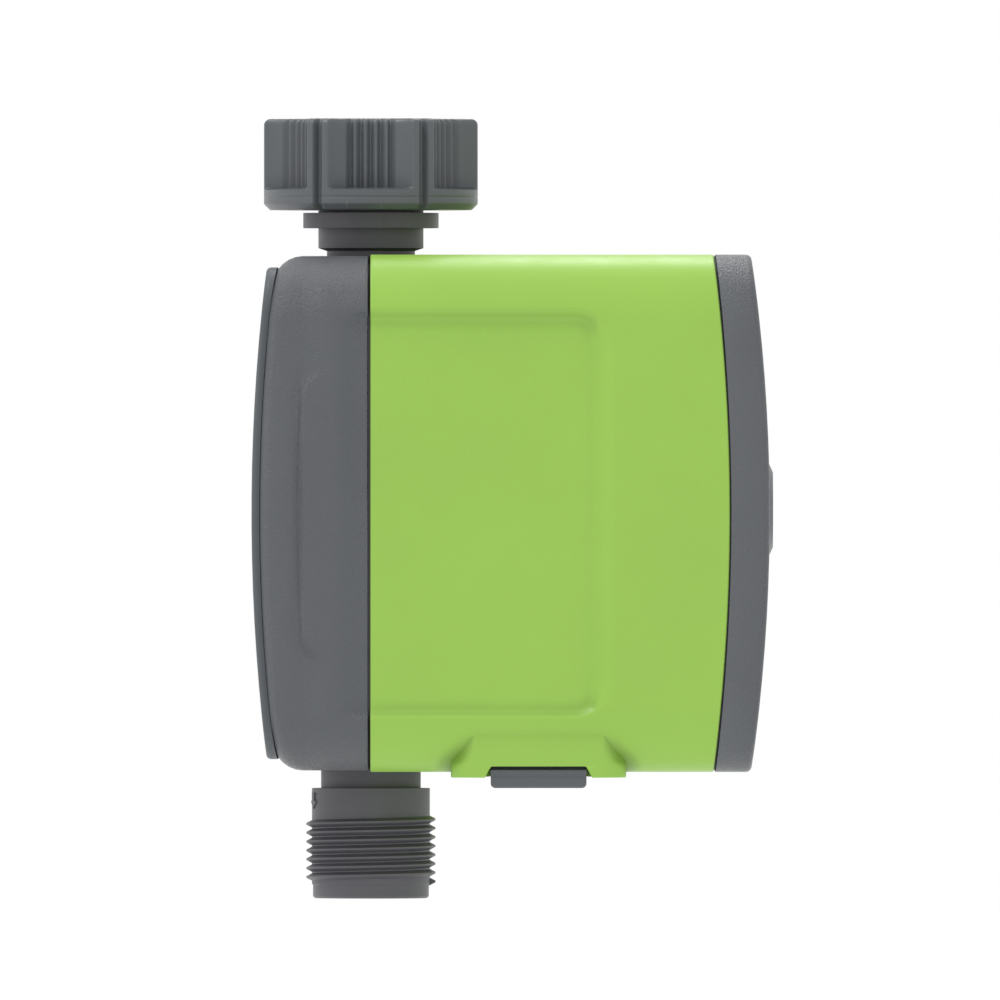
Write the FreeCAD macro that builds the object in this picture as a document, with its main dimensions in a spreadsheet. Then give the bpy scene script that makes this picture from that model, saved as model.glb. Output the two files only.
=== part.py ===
"""Drip irrigation timer: a motorised ball valve, its gearbox, board and battery tray in a split housing.

Millimetres. The origin is the centre of the inlet washer's seat, +Z runs up the water path,
+X points to the front cover with its button, and the back panel faces -X.
"""
import FreeCAD, Part
import math
import os
import re

import Sketcher
from FreeCAD import Placement, Rotation, Vector

os.makedirs("parts", exist_ok=True)
doc = FreeCAD.newDocument("drip_irrigation_timer")
sheet = doc.addObject("Spreadsheet::Sheet", "Sizes")

SIZES = {
    # housing: three shells in a row along X, all centred on mid_height
    "mid_height": -69.1,
    "half_height": 52.7,
    "half_width": 43,
    "corner_radius": 13,
    "wall": 2.4,
    "seam_gap": 0.45,
    "rear_gasket_inset": 1.75,
    "front_gasket_inset": 0.6,
    "mid_depth": 69.9,
    "mid_bow": 3.3,
    "front_depth": 77.5,
    "front_bow": 3.8,
    "front_edge": 1.2,
    "rear_depth": 19.2,
    "rear_bow": 3.4,
    "rear_edge": 5.4,
    "rear_drop": 0.3,
    "panel_depth": 21.1,
    "panel_bow": 3.1,
    "panel_half_height": 50.1,
    "panel_half_width": 38,
    "panel_corner": 9,
    "recess_depth": 1.1,
    "recess_front": 50.1,
    "recess_slope": 4.9,
    "recess_top": 41.8,
    "recess_ledge": 2,
    "recess_back": 6.3,
    # hose nut and inlet
    "nut_radius": 21.9,
    "nut_above": 11.5,
    "nut_below": 7.1,
    "nut_web": 1.9,
    "nut_edge": 1.3,
    "nut_slot_width": 1.5,
    "nut_slot_depth": 1.4,
    "scoop_radius": 14,
    "scoop_floor": 17,
    "scoop_bottom": -2.9,
    "grip_pitch": 2.13,
    "grip_width": 0.95,
    "grip_depth": 0.7,
    "thread_minor": 12.06,
    "thread_major": 13.22,
    "thread_pitch": 1.814,
    "washer_height": 3,
    "washer_drop": 0.08,
    "bead_radius": 11.7,
    "neck_radius": 10.75,
    "flange_radius": 13.85,
    "spigot_radius": 9,
    "bore_radius": 6.5,
    "fit_gap": 0.3,
    # outlet
    "outlet_neck": 10.2,
    "outlet_collar": 12.06,
    "outlet_tip": 11.85,
    "outlet_collar_top": -125.3,
    "outlet_thread_top": -130.4,
    "outlet_thread_end": -145.3,
    "outlet_end": -147.8,
    # ball valve
    "ball_height": -53.1,
    "ball_radius": 9.5,
    "ball_bore": 5.5,
    "chamber_radius": 10.2,
    "valve_radius": 12.5,
    "chamber_top": -41,
    "valve_bottom": -86,
    "stem_radius": 3.5,
    "running_gap": 0.05,
    "boss_radius": 7.5,
    "boss_end": 17.2,
    # gears
    "gear_module": 0.6,
    "wheel_teeth": 36,
    "pinion_teeth": 12,
    "pressure_angle": 25,
    "tooth_backlash": 0.1,
    "axle_radius": 1,
    "box_front": 31.5,
    "box_wall": 1.6,
    "box_half_height": 13.4,
    "box_left": 27.6,
    "box_right": 20.4,
    "motor_radius": 10.2,
    "motor_length": 25,
    # battery bay, tray and door
    "bay_middle": 34.25,
    "cell_radius": 7.25,
    "cell_length": 49.2,
    "cell_spacing": 14.6,
    "bay_half_depth": 14.95,
    "bay_half_width": 30.6,
    "bay_wall": 1.6,
    "bay_roof": -86.5,
    "bay_rim": -119.2,
    "collar_half_depth": 17.85,
    "collar_half_width": 41.4,
    "collar_corner": 5,
    "collar_bottom": -122.9,
    "collar_wall": 1.2,
    "latch_room": 39.4,
    "latch_half_width": 9.75,
    "latch_pivot_side": 36.4,
    "latch_pivot_height": -109,
    "latch_bottom": -125,
    "latch_top_of_tab": -121.3,
    # board and button
    "button_height": -68.4,
    "button_radius": 9.9,
    "button_face": 7.7,
    "button_front": 82.2,
    "button_travel": 0.5,
    "board_back": 69.8,
    "board_thick": 1.6,
    "board_half_width": 32.5,
    "board_half_height": 40.5,
    "post_side": 29.5,
    "post_height": 37.5,
    # screws
    "screw_radius": 1.5,
    "screw_head": 2.8,
    "screw_head_height": 1.8,
}

for row, (alias, number) in enumerate(SIZES.items(), start=1):
    sheet.set(f"A{row}", alias)
    sheet.set(f"B{row}", str(number))
    sheet.setAlias(f"B{row}", alias)
doc.recompute()

UPRIGHT = Rotation()
ALONG_X = Rotation(Vector(0, 1, 0), 90)
ALONG_Y = Rotation(Vector(1, 0, 0), -90)
ORIGIN = (0, 0, 0)
WORD = re.compile(r"[a-z][a-z_]+")
parts = {}


# ---- helpers: every size is a formula over the sheet's aliases -------------------------------

def scoped(formula):
    """The formula with each alias addressed through the sheet."""
    return WORD.sub(lambda hit: f"Sizes.{hit[0]}" if hit[0] in SIZES else hit[0], str(formula))


def value(formula):
    return float(sheet.evalExpression(scoped(formula)))


def bind(thing, **formulas):
    for name, formula in formulas.items():
        thing.setExpression(name, scoped(formula))
    return thing


def place(thing, at, turn=UPRIGHT):
    """Put a thing at a point given by three formulas, turned by a fixed rotation."""
    thing.Placement = Placement(Vector(*(value(part) for part in at)), turn)
    for letter, formula in zip("xyz", at):
        thing.setExpression(f"Placement.Base.{letter}", scoped(formula))
    return thing


def cylinder(name, radius, length, at=ORIGIN, turn=UPRIGHT):
    rod = bind(doc.addObject("Part::Cylinder", name), Radius=radius, Height=length)
    return place(rod, at, turn)


def cone(name, low_radius, high_radius, length, at=ORIGIN, turn=UPRIGHT):
    taper = doc.addObject("Part::Cone", name)
    bind(taper, Radius1=low_radius, Radius2=high_radius, Height=length)
    return place(taper, at, turn)


def torus(name, ring_radius, section_radius, at=ORIGIN, turn=UPRIGHT):
    ring = bind(doc.addObject("Part::Torus", name), Radius1=ring_radius, Radius2=section_radius)
    return place(ring, at, turn)


def box(name, low, high):
    """A box between two corners, each given by three formulas."""
    block = doc.addObject("Part::Box", name)
    sizes = [f"({top}) - ({bottom})" for bottom, top in zip(low, high)]
    bind(block, Length=sizes[0], Width=sizes[1], Height=sizes[2])
    return place(block, low)


def fuse(name, *shapes):
    joined = doc.addObject("Part::MultiFuse", name)
    joined.Shapes = list(shapes)
    return joined


def common(name, *shapes):
    shared = doc.addObject("Part::MultiCommon", name)
    shared.Shapes = list(shapes)
    return shared


def cut(name, base, *tools):
    """The base less its tools; a single tool is used as it is."""
    result = doc.addObject("Part::Cut", name)
    result.Base = base
    result.Tool = tools[0] if len(tools) == 1 else fuse(f"{name}_tools", *tools)
    return result


def group(name, shapes):
    """Identical pieces kept apart as the solids of one node."""
    bundle = doc.addObject("Part::Compound", name)
    bundle.Links = list(shapes)
    return bundle


def keep(node, thing):
    """Register a finished sub-part under its node name."""
    thing.Label = node
    parts[node] = thing
    return thing


def origin_plane(body, role):
    return next(item for item in body.Origin.OriginFeatures if item.Role == role)


def arc_between(start, end, radius):
    """An arc from start to end; a positive radius bulges to the right of the way there."""
    chord = end - start
    middle = (start + end) * 0.5
    side = Vector(-chord.y, chord.x, 0).normalize()
    reach = math.sqrt(max(radius * radius - chord.Length ** 2 / 4, 0))
    centre = middle + side * math.copysign(reach, radius)
    first, last = (start, end) if radius > 0 else (end, start)
    angles = [math.atan2(point.y - centre.y, point.x - centre.x) for point in (first, last)]
    circle = Part.Circle(centre, Vector(0, 0, 1), abs(radius))
    return Part.ArcOfCircle(circle, angles[0], angles[1])


def sketch(body, name, plane, outline):
    """A closed, fully constrained outline of corners (x, y) or (x, y, radius of the arc that follows)."""
    drawing = body.newObject("Sketcher::SketchObject", name)
    drawing.AttachmentSupport = [(origin_plane(body, plane), "")]
    drawing.MapMode = "FlatFace"
    corners = [Vector(value(corner[0]), value(corner[1]), 0) for corner in outline]
    ends = []
    for index, corner in enumerate(outline):
        start, end = corners[index], corners[(index + 1) % len(corners)]
        if len(corner) == 2:
            drawing.addGeometry(Part.LineSegment(start, end))
            ends.append((1, 2))
            continue
        radius = value(corner[2])
        drawing.addGeometry(arc_between(start, end, radius))
        ends.append((1, 2) if radius > 0 else (2, 1))
    for index, corner in enumerate(outline):
        after = (index + 1) % len(outline)
        drawing.addConstraint(Sketcher.Constraint("Coincident", index, ends[index][1], after,
                                                  ends[after][0]))
        for kind, formula, number in zip(("DistanceX", "DistanceY"), corner, corners[index]):
            where = drawing.addConstraint(Sketcher.Constraint(kind, -1, 1, index, ends[index][0], number))
            drawing.setExpression(f"Constraints[{where}]", scoped(formula))
        if len(corner) == 3:
            where = drawing.addConstraint(Sketcher.Constraint("Radius", index, abs(value(corner[2]))))
            drawing.setExpression(f"Constraints[{where}]", scoped(f"abs({corner[2]})"))
    return drawing


def revolved(name, outline, at=ORIGIN, turn=UPRIGHT):
    """A body turned about its own Z axis from an outline of (radius, height) corners."""
    body = doc.addObject("PartDesign::Body", name)
    drawing = sketch(body, f"{name}_outline", "XZ_Plane", outline)
    spin = body.newObject("PartDesign::Revolution", f"{name}_spin")
    spin.Profile = drawing
    spin.ReferenceAxis = (drawing, ["V_Axis"])
    spin.Angle = 360
    return place(body, at, turn)


def padded(name, outline, length, plane="XY_Plane", at=ORIGIN, symmetric=False):
    """A body raised from an outline, along the plane's normal or evenly to both sides."""
    body = doc.addObject("PartDesign::Body", name)
    pad = body.newObject("PartDesign::Pad", f"{name}_pad")
    pad.Profile = sketch(body, f"{name}_outline", plane, outline)
    pad.SideType = "Symmetric" if symmetric else "One side"
    bind(pad, Length=length)
    return place(body, at)


def round_edges(body, name, radius, wanted):
    """Fillet the edges of a body's tip that a test on their bounding box picks out."""
    doc.recompute()
    tip = body.Tip
    names = [f"Edge{n}" for n, edge in enumerate(tip.Shape.Edges, start=1) if wanted(edge.BoundBox)]
    fillet = body.newObject("PartDesign::Fillet", name)
    fillet.Base = (tip, names)
    bind(fillet, Radius=radius)
    return body


def rounded_plate(name, half_x, half_y, thickness, corner, at):
    """A horizontal plate with rounded corners, centred on its own axis."""
    outline = [(f"-({half_x})", f"-({half_y})"), (half_x, f"-({half_y})"),
               (half_x, half_y), (f"-({half_x})", half_y)]
    body = padded(name, outline, thickness, at=at)
    high = value(thickness)
    return round_edges(body, f"{name}_corners", corner, lambda box: box.ZLength > high * 0.9)


def shell_block(name, half_height, half_width, back, back_bow, front, front_bow, corner):
    """A block between two bowed ends, rounded at its four long edges.

    A bow is how far the middle of an end stands out in front of its top and bottom.
    """
    high = f"({half_height})"

    def bow_radius(bow):
        return f"({high}^2 + ({bow})^2) / (2 * ({bow}))"

    outline = [(back, f"-{high}"), (front, f"-{high}", bow_radius(front_bow))
               if front_bow else (front, f"-{high}"),
               (front, high), (back, high, bow_radius(back_bow)) if back_bow else (back, high)]
    body = padded(name, outline, f"2 * ({half_width})", "XZ_Plane", (0, 0, "mid_height"), symmetric=True)
    limit_z = value(half_height) * 0.99
    limit_y = value(half_width) * 0.99
    return round_edges(body, f"{name}_corners", corner,
                       lambda box: box.YLength < 0.01 and box.ZLength < 0.01
                       and abs(box.YMax) > limit_y and abs(box.ZMax) > limit_z)


def screw(name, length, at, turn=UPRIGHT):
    """A cross-recessed pan-head screw; its head starts at the point and its shank runs on along Z."""
    spin = revolved(name, [(0, 0), ("screw_head - 0.4", 0), ("screw_head", 0.5),
                           ("screw_head", "screw_head_height"),
                           ("screw_radius", "screw_head_height"), ("screw_radius", f"{length} - 1"),
                           ("screw_radius * 0.4", length), (0, length)])
    blades = [box(f"{name}_blade_{tag}", (f"-{long}", f"-{wide}", -1), (long, wide, 0.9))
              for tag, long, wide in (("a", 1.6, 0.35), ("b", 0.35, 1.6))]
    driven = cut(f"{name}_driven", spin, *blades)
    return place(driven, at, turn)


def four_corners(side, height):
    """The four (y, z) pairs around the housing's middle."""
    return [(f"{y} * ({side})", f"mid_height + {z} * ({height})") for y in (-1, 1) for z in (-1, 1)]


# ---- inlet ----------------------------------------------------------------------------------

def thread_ridge(name, outline, start, height):
    """A right-hand helical ridge of the given (radius, height) section that starts at a height."""
    helix = doc.addObject("Part::Helix", f"{name}_path")
    bind(helix, Pitch="thread_pitch", Height=height, Radius="thread_minor")
    place(helix, (0, 0, start))
    section = doc.addObject("PartDesign::Body", f"{name}_section")
    ridge = doc.addObject("Part::Sweep", name)
    ridge.Sections = [sketch(section, f"{name}_outline", "XZ_Plane", outline)]
    ridge.Spine = (helix, ["Edge1"])
    ridge.Solid = True
    ridge.Frenet = True
    return ridge


def inlet_nut():
    """Six-lobed hose nut with a G3/4 female thread, turning freely on the inlet's neck."""
    web_hole = "neck_radius + 0.35"
    body = revolved("nut_blank", [
        (web_hole, "-nut_below"), ("nut_radius - nut_edge", "-nut_below"),
        ("nut_radius", "-nut_below + nut_edge"), ("nut_radius", "nut_above - nut_edge"),
        ("nut_radius - nut_edge", "nut_above"), ("thread_minor + 0.6", "nut_above"),
        ("thread_minor", "nut_above - 0.6"), ("thread_minor", -0.2), ("thread_minor + 0.35", -0.4),
        ("thread_minor + 0.35", "nut_web - nut_below"),
        (web_hole, "nut_web - nut_below")])
    groove = thread_ridge("nut_thread", [
        ("thread_minor - 0.2", 0.53), ("thread_minor + 0.85", 0.88),
        ("thread_minor + 0.85", 1.18), ("thread_minor - 0.2", 1.53)], 1.03, "nut_above - 3")
    grips = []
    for lobe in range(6):
        grips.append(nut_grip(f"nut_grip_{lobe}", 60 * lobe - 90))
        grips.append(nut_slot(f"nut_slot_{lobe}", 60 * lobe - 60))
    threaded = cut("inlet_nut", cut("nut_gripped", body, *grips), groove)
    threaded.Refine = False
    keep("inlet_nut", threaded)


def nut_grip(name, angle):
    """One finger scoop, open at the top, with five grooves in its floor."""
    centre = "scoop_floor + scoop_radius"
    scoop = cylinder(f"{name}_scoop", "scoop_radius", "nut_above - scoop_bottom + 1",
                     (centre, 0, "scoop_bottom"))
    grooves = [box(f"{name}_groove_{n}",
                   ("scoop_floor - grip_depth", f"{n} * grip_pitch - grip_width / 2", "scoop_bottom"),
                   ("scoop_floor + 3", f"{n} * grip_pitch + grip_width / 2", "nut_above + 1"))
               for n in (-2, -1, 0, 1, 2)]
    return place(fuse(name, scoop, *grooves), ORIGIN, Rotation(Vector(0, 0, 1), angle))


def nut_slot(name, angle):
    """One upright slot between two lobes, with a round floor."""
    floor = "nut_radius - nut_slot_depth + nut_slot_width / 2"
    round_floor = cylinder(f"{name}_floor", "nut_slot_width / 2", "nut_above + nut_below + 2",
                           (floor, 0, "-nut_below - 1"))
    sides = box(f"{name}_sides", (floor, "-nut_slot_width / 2", "-nut_below - 1"),
                ("nut_radius + 1", "nut_slot_width / 2", "nut_above + 1"))
    return place(fuse(name, round_floor, sides), ORIGIN, Rotation(Vector(0, 0, 1), angle))


def inlet_pieces():
    """Washer, filter, the spigot that they sit on, and its O-ring."""
    keep("inlet_washer", revolved("inlet_washer", [
        (8, "-washer_height"), ("bead_radius - 0.1", "-washer_height"),
        ("bead_radius - 0.1", "-washer_drop"), (8, "-washer_drop")]))
    keep("inlet_spigot", revolved("inlet_spigot", [
        ("bore_radius", -33.5), (7.8, -33.5), ("spigot_radius", -32.3), ("spigot_radius", -28.4),
        (7.5, -28.4), (7.5, -26.4), ("spigot_radius", -26.4), ("spigot_radius", -20.2), (11, -20.2),
        (11, -19.3),
        ("spigot_radius", -19.3), ("spigot_radius", -15.5), ("neck_radius", -14.9), ("neck_radius", -10.8),
        ("flange_radius", -10.8), ("flange_radius", -7.7), ("neck_radius", -7.7), ("neck_radius", -4.9),
        ("bead_radius", -4.5), ("bead_radius", "-washer_height"), (8.6, "-washer_height"), (8.6, -4.5),
        ("bore_radius", -4.5)]))
    cup = revolved("filter_cup", [
        (0, -22), (4.6, -22), (5.7, -6), (5.7, -4.4), (8.4, -4.4), (8.4, "-washer_height"),
        (5, "-washer_height"), (5, -6), (3.9, -21.2), (0, -21.2)])
    windows = [place(box(f"filter_window_{side}_{level}", (2, -1.5, 0), (7, 1.5, 2.6)),
                     (0, 0, -11.2 - 4 * level), Rotation(Vector(0, 0, 1), 60 * side))
               for side in range(6) for level in range(3)]
    keep("inlet_filter", cut("inlet_filter", cup, *windows))
    keep("inlet_oring", torus("inlet_oring", 8.35, 0.82, (0, 0, -27.4)))


# ---- valve ----------------------------------------------------------------------------------

def valve_body():
    """Upright tube with the ball's chamber, a boss for the stem and posts for the gearbox."""
    tube = revolved("valve_tube", [
        (6, -34), (6, "chamber_top"), ("chamber_radius", "chamber_top"), ("chamber_radius", "valve_bottom"),
        ("valve_radius", "valve_bottom"), ("valve_radius", -71), ("valve_radius + 1.3", -69),
        ("valve_radius + 1.3", -37), ("valve_radius", -35), ("valve_radius", -20.4),
        ("spigot_radius + 0.25", -20.4), ("spigot_radius + 0.25", -34)])
    boss = cylinder("valve_boss", "boss_radius", "boss_end - 11", (11, 0, "ball_height"), ALONG_X)
    posts = [cylinder(f"valve_post_{n}", 2.9, "boss_end - 5",
                      (5, f"{y} * 10.6", f"ball_height + {z} * 10"), ALONG_X)
             for n, (y, z) in enumerate(((-1, -1), (-1, 1), (1, -1), (1, 1)))]
    ears = [cylinder(f"valve_ear_{n}", 3.9, 9, (0, f"{y} * 15.8", "valve_bottom"))
            for n, y in enumerate((-1, 1))]
    solid = fuse("valve_solid", tube, boss, *posts, *ears)
    stem_hole = cylinder("valve_stem_hole", "stem_radius + running_gap", "boss_end",
                         (5, 0, "ball_height"), ALONG_X)
    chamber = cylinder("valve_chamber", "chamber_radius", "chamber_top - valve_bottom + 1",
                       (0, 0, "valve_bottom - 1"))
    holes = [cylinder(f"valve_post_hole_{n}", "screw_radius", 9,
                      ("boss_end - 8.8", f"{y} * 10.6", f"ball_height + {z} * 10"),
                      ALONG_X) for n, (y, z) in enumerate(((-1, -1), (-1, 1), (1, -1), (1, 1)))]
    ear_holes = [cylinder(f"valve_ear_hole_{n}", "screw_radius", 7.6,
                          (0, f"{y} * 15.8", "valve_bottom - 0.6"))
                 for n, y in enumerate((-1, 1))]
    keep("valve_body", cut("valve_body", solid, stem_hole, chamber, *holes, *ear_holes))


def ball_and_seats():
    """The ball, shut at rest with its bore across the pipe, between two seat rings."""
    sphere = bind(doc.addObject("Part::Sphere", "ball_sphere"), Radius="ball_radius")
    place(sphere, (0, 0, "ball_height"))
    bore = cylinder("ball_waterway", "ball_bore", 30, (0, -15, "ball_height"), ALONG_Y)
    slot = box("ball_slot", (7.3, -1.1, "ball_height - 10"), (12, 1.1, "ball_height + 10"))
    keep("ball", cut("ball", sphere, bore, slot))
    for name, low, high in (("upper_ball_seat", 5.6, "chamber_top - ball_height - 0.05"),
                            ("lower_ball_seat", "-(chamber_top - ball_height - 0.05)", -5.6)):
        ring = revolved(f"{name}_ring", [("ball_bore + 0.3", low), ("chamber_radius - 0.1", low),
                                         ("chamber_radius - 0.1", high), ("ball_bore + 0.3", high)],
                        (0, 0, "ball_height"))
        hollow = bind(doc.addObject("Part::Sphere", f"{name}_hollow"), Radius="ball_radius + 0.12")
        place(hollow, (0, 0, "ball_height"))
        keep(name, cut(name, ring, hollow))


def valve_stem():
    """Stem from the ball's slot to the output gear's hexagon, with an O-ring in its groove."""
    shaft = revolved("stem_shaft", [
        (0, 9.7), ("stem_radius", 9.7), ("stem_radius", 12.4), (2.5, 12.4), (2.5, 14), ("stem_radius", 14),
        ("stem_radius", 20.8), (0, 20.8)], (0, 0, "ball_height"), ALONG_X)
    tang = box("stem_tang", (7.5, -1, "ball_height - 3.2"), (9.9, 1, "ball_height + 3.2"))
    hexagon = bind(doc.addObject("Part::Prism", "stem_hexagon"), Circumradius=3, Height=4)
    hexagon.Polygon = 6
    place(hexagon, (20.8, 0, "ball_height"), ALONG_X)
    keep("valve_stem", fuse("valve_stem", shaft, tang, hexagon))
    keep("stem_oring", torus("stem_oring", 3.02, 0.5, (13.2, 0, "ball_height"), ALONG_X))


def outlet_spigot():
    """Outlet tube from the lower ball seat to the G3/4 male thread, with a flange screwed to the valve."""
    body = revolved("outlet_tube", [
        ("bore_radius", "outlet_end"), ("outlet_tip - 0.4", "outlet_end"),
        ("outlet_tip", "outlet_end + 0.4"),
        ("outlet_tip", "outlet_thread_end + 0.2"), ("thread_minor", "outlet_thread_end + 0.4"),
        ("thread_minor", "outlet_collar_top"), ("outlet_neck", "outlet_collar_top"), ("outlet_neck", -89.5),
        (13.5, -89.5), (13.5, "valve_bottom"), ("chamber_radius - 0.05", "valve_bottom"),
        ("chamber_radius - 0.05", -75),
        (8.6, -75), (8.6, -73), ("chamber_radius - 0.05", -73), ("chamber_radius - 0.05", -65.3),
        ("bore_radius", -65.3)])
    low = "outlet_thread_end + 0.9"
    ridge = thread_ridge("outlet_thread", [
        ("thread_minor - 0.15", f"{low} - 0.85"), ("thread_major", f"{low} - 0.17"),
        ("thread_major", f"{low} + 0.17"), ("thread_minor - 0.15", f"{low} + 0.85")],
        low, "outlet_thread_top - outlet_thread_end - 1.6")
    ears = [cylinder(f"outlet_ear_{n}", 3.9, 3.5, (0, f"{y} * 15.8", "valve_bottom - 3.5"))
            for n, y in enumerate((-1, 1))]
    solid = fuse("outlet_solid", body, *ears)
    holes = [cylinder(f"outlet_ear_hole_{n}", "screw_radius + 0.1", 8,
                      (0, f"{y} * 15.8", "valve_bottom - 6"))
             for n, y in enumerate((-1, 1))]
    threaded = doc.addObject("Part::Fuse", "outlet_spigot")
    threaded.Base = cut("outlet_plain", solid, *holes)
    threaded.Tool = ridge
    threaded.Refine = False
    keep("outlet_spigot", threaded)
    keep("outlet_oring", torus("outlet_oring", 9.4, 0.78, (0, 0, -74)))
    keep("valve_screws", group("valve_screws", [
        screw(f"valve_screw_{n}", 9.5, (0, f"{y} * 15.8", "valve_bottom - 3.5 - screw_head_height"))
        for n, y in enumerate((-1, 1))]))


# ---- gearbox --------------------------------------------------------------------------------

def gear_shape(teeth, thickness):
    """A spur gear about Z: involute flanks, a tooth centred on the X axis, thinned for backlash."""
    module = value("gear_module")
    pressure = math.radians(value("pressure_angle"))
    pitch_radius = module * teeth / 2
    base_radius = pitch_radius * math.cos(pressure)
    tip_radius = pitch_radius + module
    root_radius = pitch_radius - 1.25 * module
    start_radius = max(base_radius, root_radius + 0.02)
    half_tooth = math.pi / (2 * teeth) - value("tooth_backlash") / (2 * pitch_radius)

    def roll(radius):
        angle = math.acos(min(1.0, base_radius / radius))
        return math.tan(angle) - angle

    def point(radius, angle):
        return Vector(radius * math.cos(angle), radius * math.sin(angle), 0)

    steps = 5
    radii = [start_radius + (tip_radius - start_radius) * step / steps for step in range(steps + 1)]
    flank = [(radius, half_tooth + roll(pitch_radius) - roll(radius)) for radius in radii]
    edges = []
    pitch_angle = 2 * math.pi / teeth
    for tooth in range(teeth):
        middle = tooth * pitch_angle
        lower = [point(radius, middle - angle) for radius, angle in flank]
        upper = [point(radius, middle + angle) for radius, angle in reversed(flank)]
        next_start = point(flank[0][0], middle + pitch_angle - flank[0][1])
        root_a = point(root_radius, middle + flank[0][1])
        root_b = point(root_radius, middle + pitch_angle - flank[0][1])
        root_middle = point(root_radius, middle + pitch_angle / 2)
        for line in (lower, upper):
            curve = Part.BSplineCurve()
            curve.interpolate(line)
            edges.append(curve.toShape())
            if line is lower:
                edges.append(Part.Arc(lower[-1], point(tip_radius, middle), upper[0]).toShape())
        edges.append(Part.makeLine(upper[-1], root_a))
        edges.append(Part.Arc(root_a, root_middle, root_b).toShape())
        edges.append(Part.makeLine(root_b, next_start))
    return Part.Face(Part.Wire(edges)).extrude(Vector(0, 0, thickness))


def along_x(shape, x, y, turn=0):
    """Lay a shape made about Z along X at the ball's height, after turning it about its own axis."""
    laid = shape.copy()
    laid.rotate(Vector(0, 0, 0), Vector(0, 0, 1), turn)
    laid.rotate(Vector(0, 0, 0), Vector(0, 1, 0), 90)
    laid.translate(Vector(x, y, value("ball_height")))
    return laid


def made(node, shape):
    """A sub-part whose shape is built here from the sheet's values."""
    thing = doc.addObject("Part::Feature", node)
    thing.Shape = shape
    thing.Placement = Placement()
    return keep(node, thing)


def gear_train():
    """Output wheel on the stem and two compound gears on two axles, driven by the motor's pinion.

    Laid along X, a gear's own X axis points down, so a quarter turn brings a tooth to +Y.
    A pinion beside a wheel's tooth shows it a gap, half a pinion tooth on.
    """
    wheel_teeth = int(value("wheel_teeth"))
    pinion_teeth = int(value("pinion_teeth"))
    spacing = value("gear_module * (wheel_teeth + pinion_teeth) / 2")
    axle = value("axle_radius + running_gap")
    gap_turn = 180 / pinion_teeth

    def hub(radius, x, length, y):
        return Part.makeCylinder(radius, length, Vector(x, y, value("ball_height")), Vector(1, 0, 0))

    def compound(pinion_x, pinion_length, pinion_turn, wheel_x, y, hub_x, hub_length):
        pinion = along_x(gear_shape(pinion_teeth, pinion_length), pinion_x, y, pinion_turn)
        wheel = along_x(gear_shape(wheel_teeth, 2), wheel_x, y, 90)
        solid = pinion.fuse([wheel, hub(2.4, hub_x, hub_length, y)])
        return solid.cut(hub(axle, hub_x - 1, hub_length + 2, y)).removeSplitter()

    output = along_x(gear_shape(wheel_teeth, 3.4), 21, 0, 90)
    made("output_gear", output.cut(parts["valve_stem"].Shape))
    made("compound_gear_second", compound(20.9, 4.6, 90 + gap_turn, 25.2, spacing, 19.5, 11.5))
    made("compound_gear_first", compound(25.1, 3.2, 90 + gap_turn, 28, 0, 25.1, 5.9))
    pinion = along_x(gear_shape(pinion_teeth, 2.6), 27.8, -spacing, 90 + gap_turn)
    made("motor_pinion", pinion.cut(hub(value("axle_radius"), 20, 20, -spacing)))
    keep("motor_shaft", cylinder("motor_shaft", "axle_radius", 16, (27.4, f"-{spacing}", "ball_height"),
                                 ALONG_X))
    keep("gear_axles", group("gear_axles", [
        cylinder("first_axle", "axle_radius", "box_front + 1.4 - 24.95", (24.95, 0, "ball_height"),
                 ALONG_X),
        cylinder("second_axle", "axle_radius", "box_front + 1.4 - 18", (18, f"{spacing}", "ball_height"),
                 ALONG_X)]))


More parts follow.
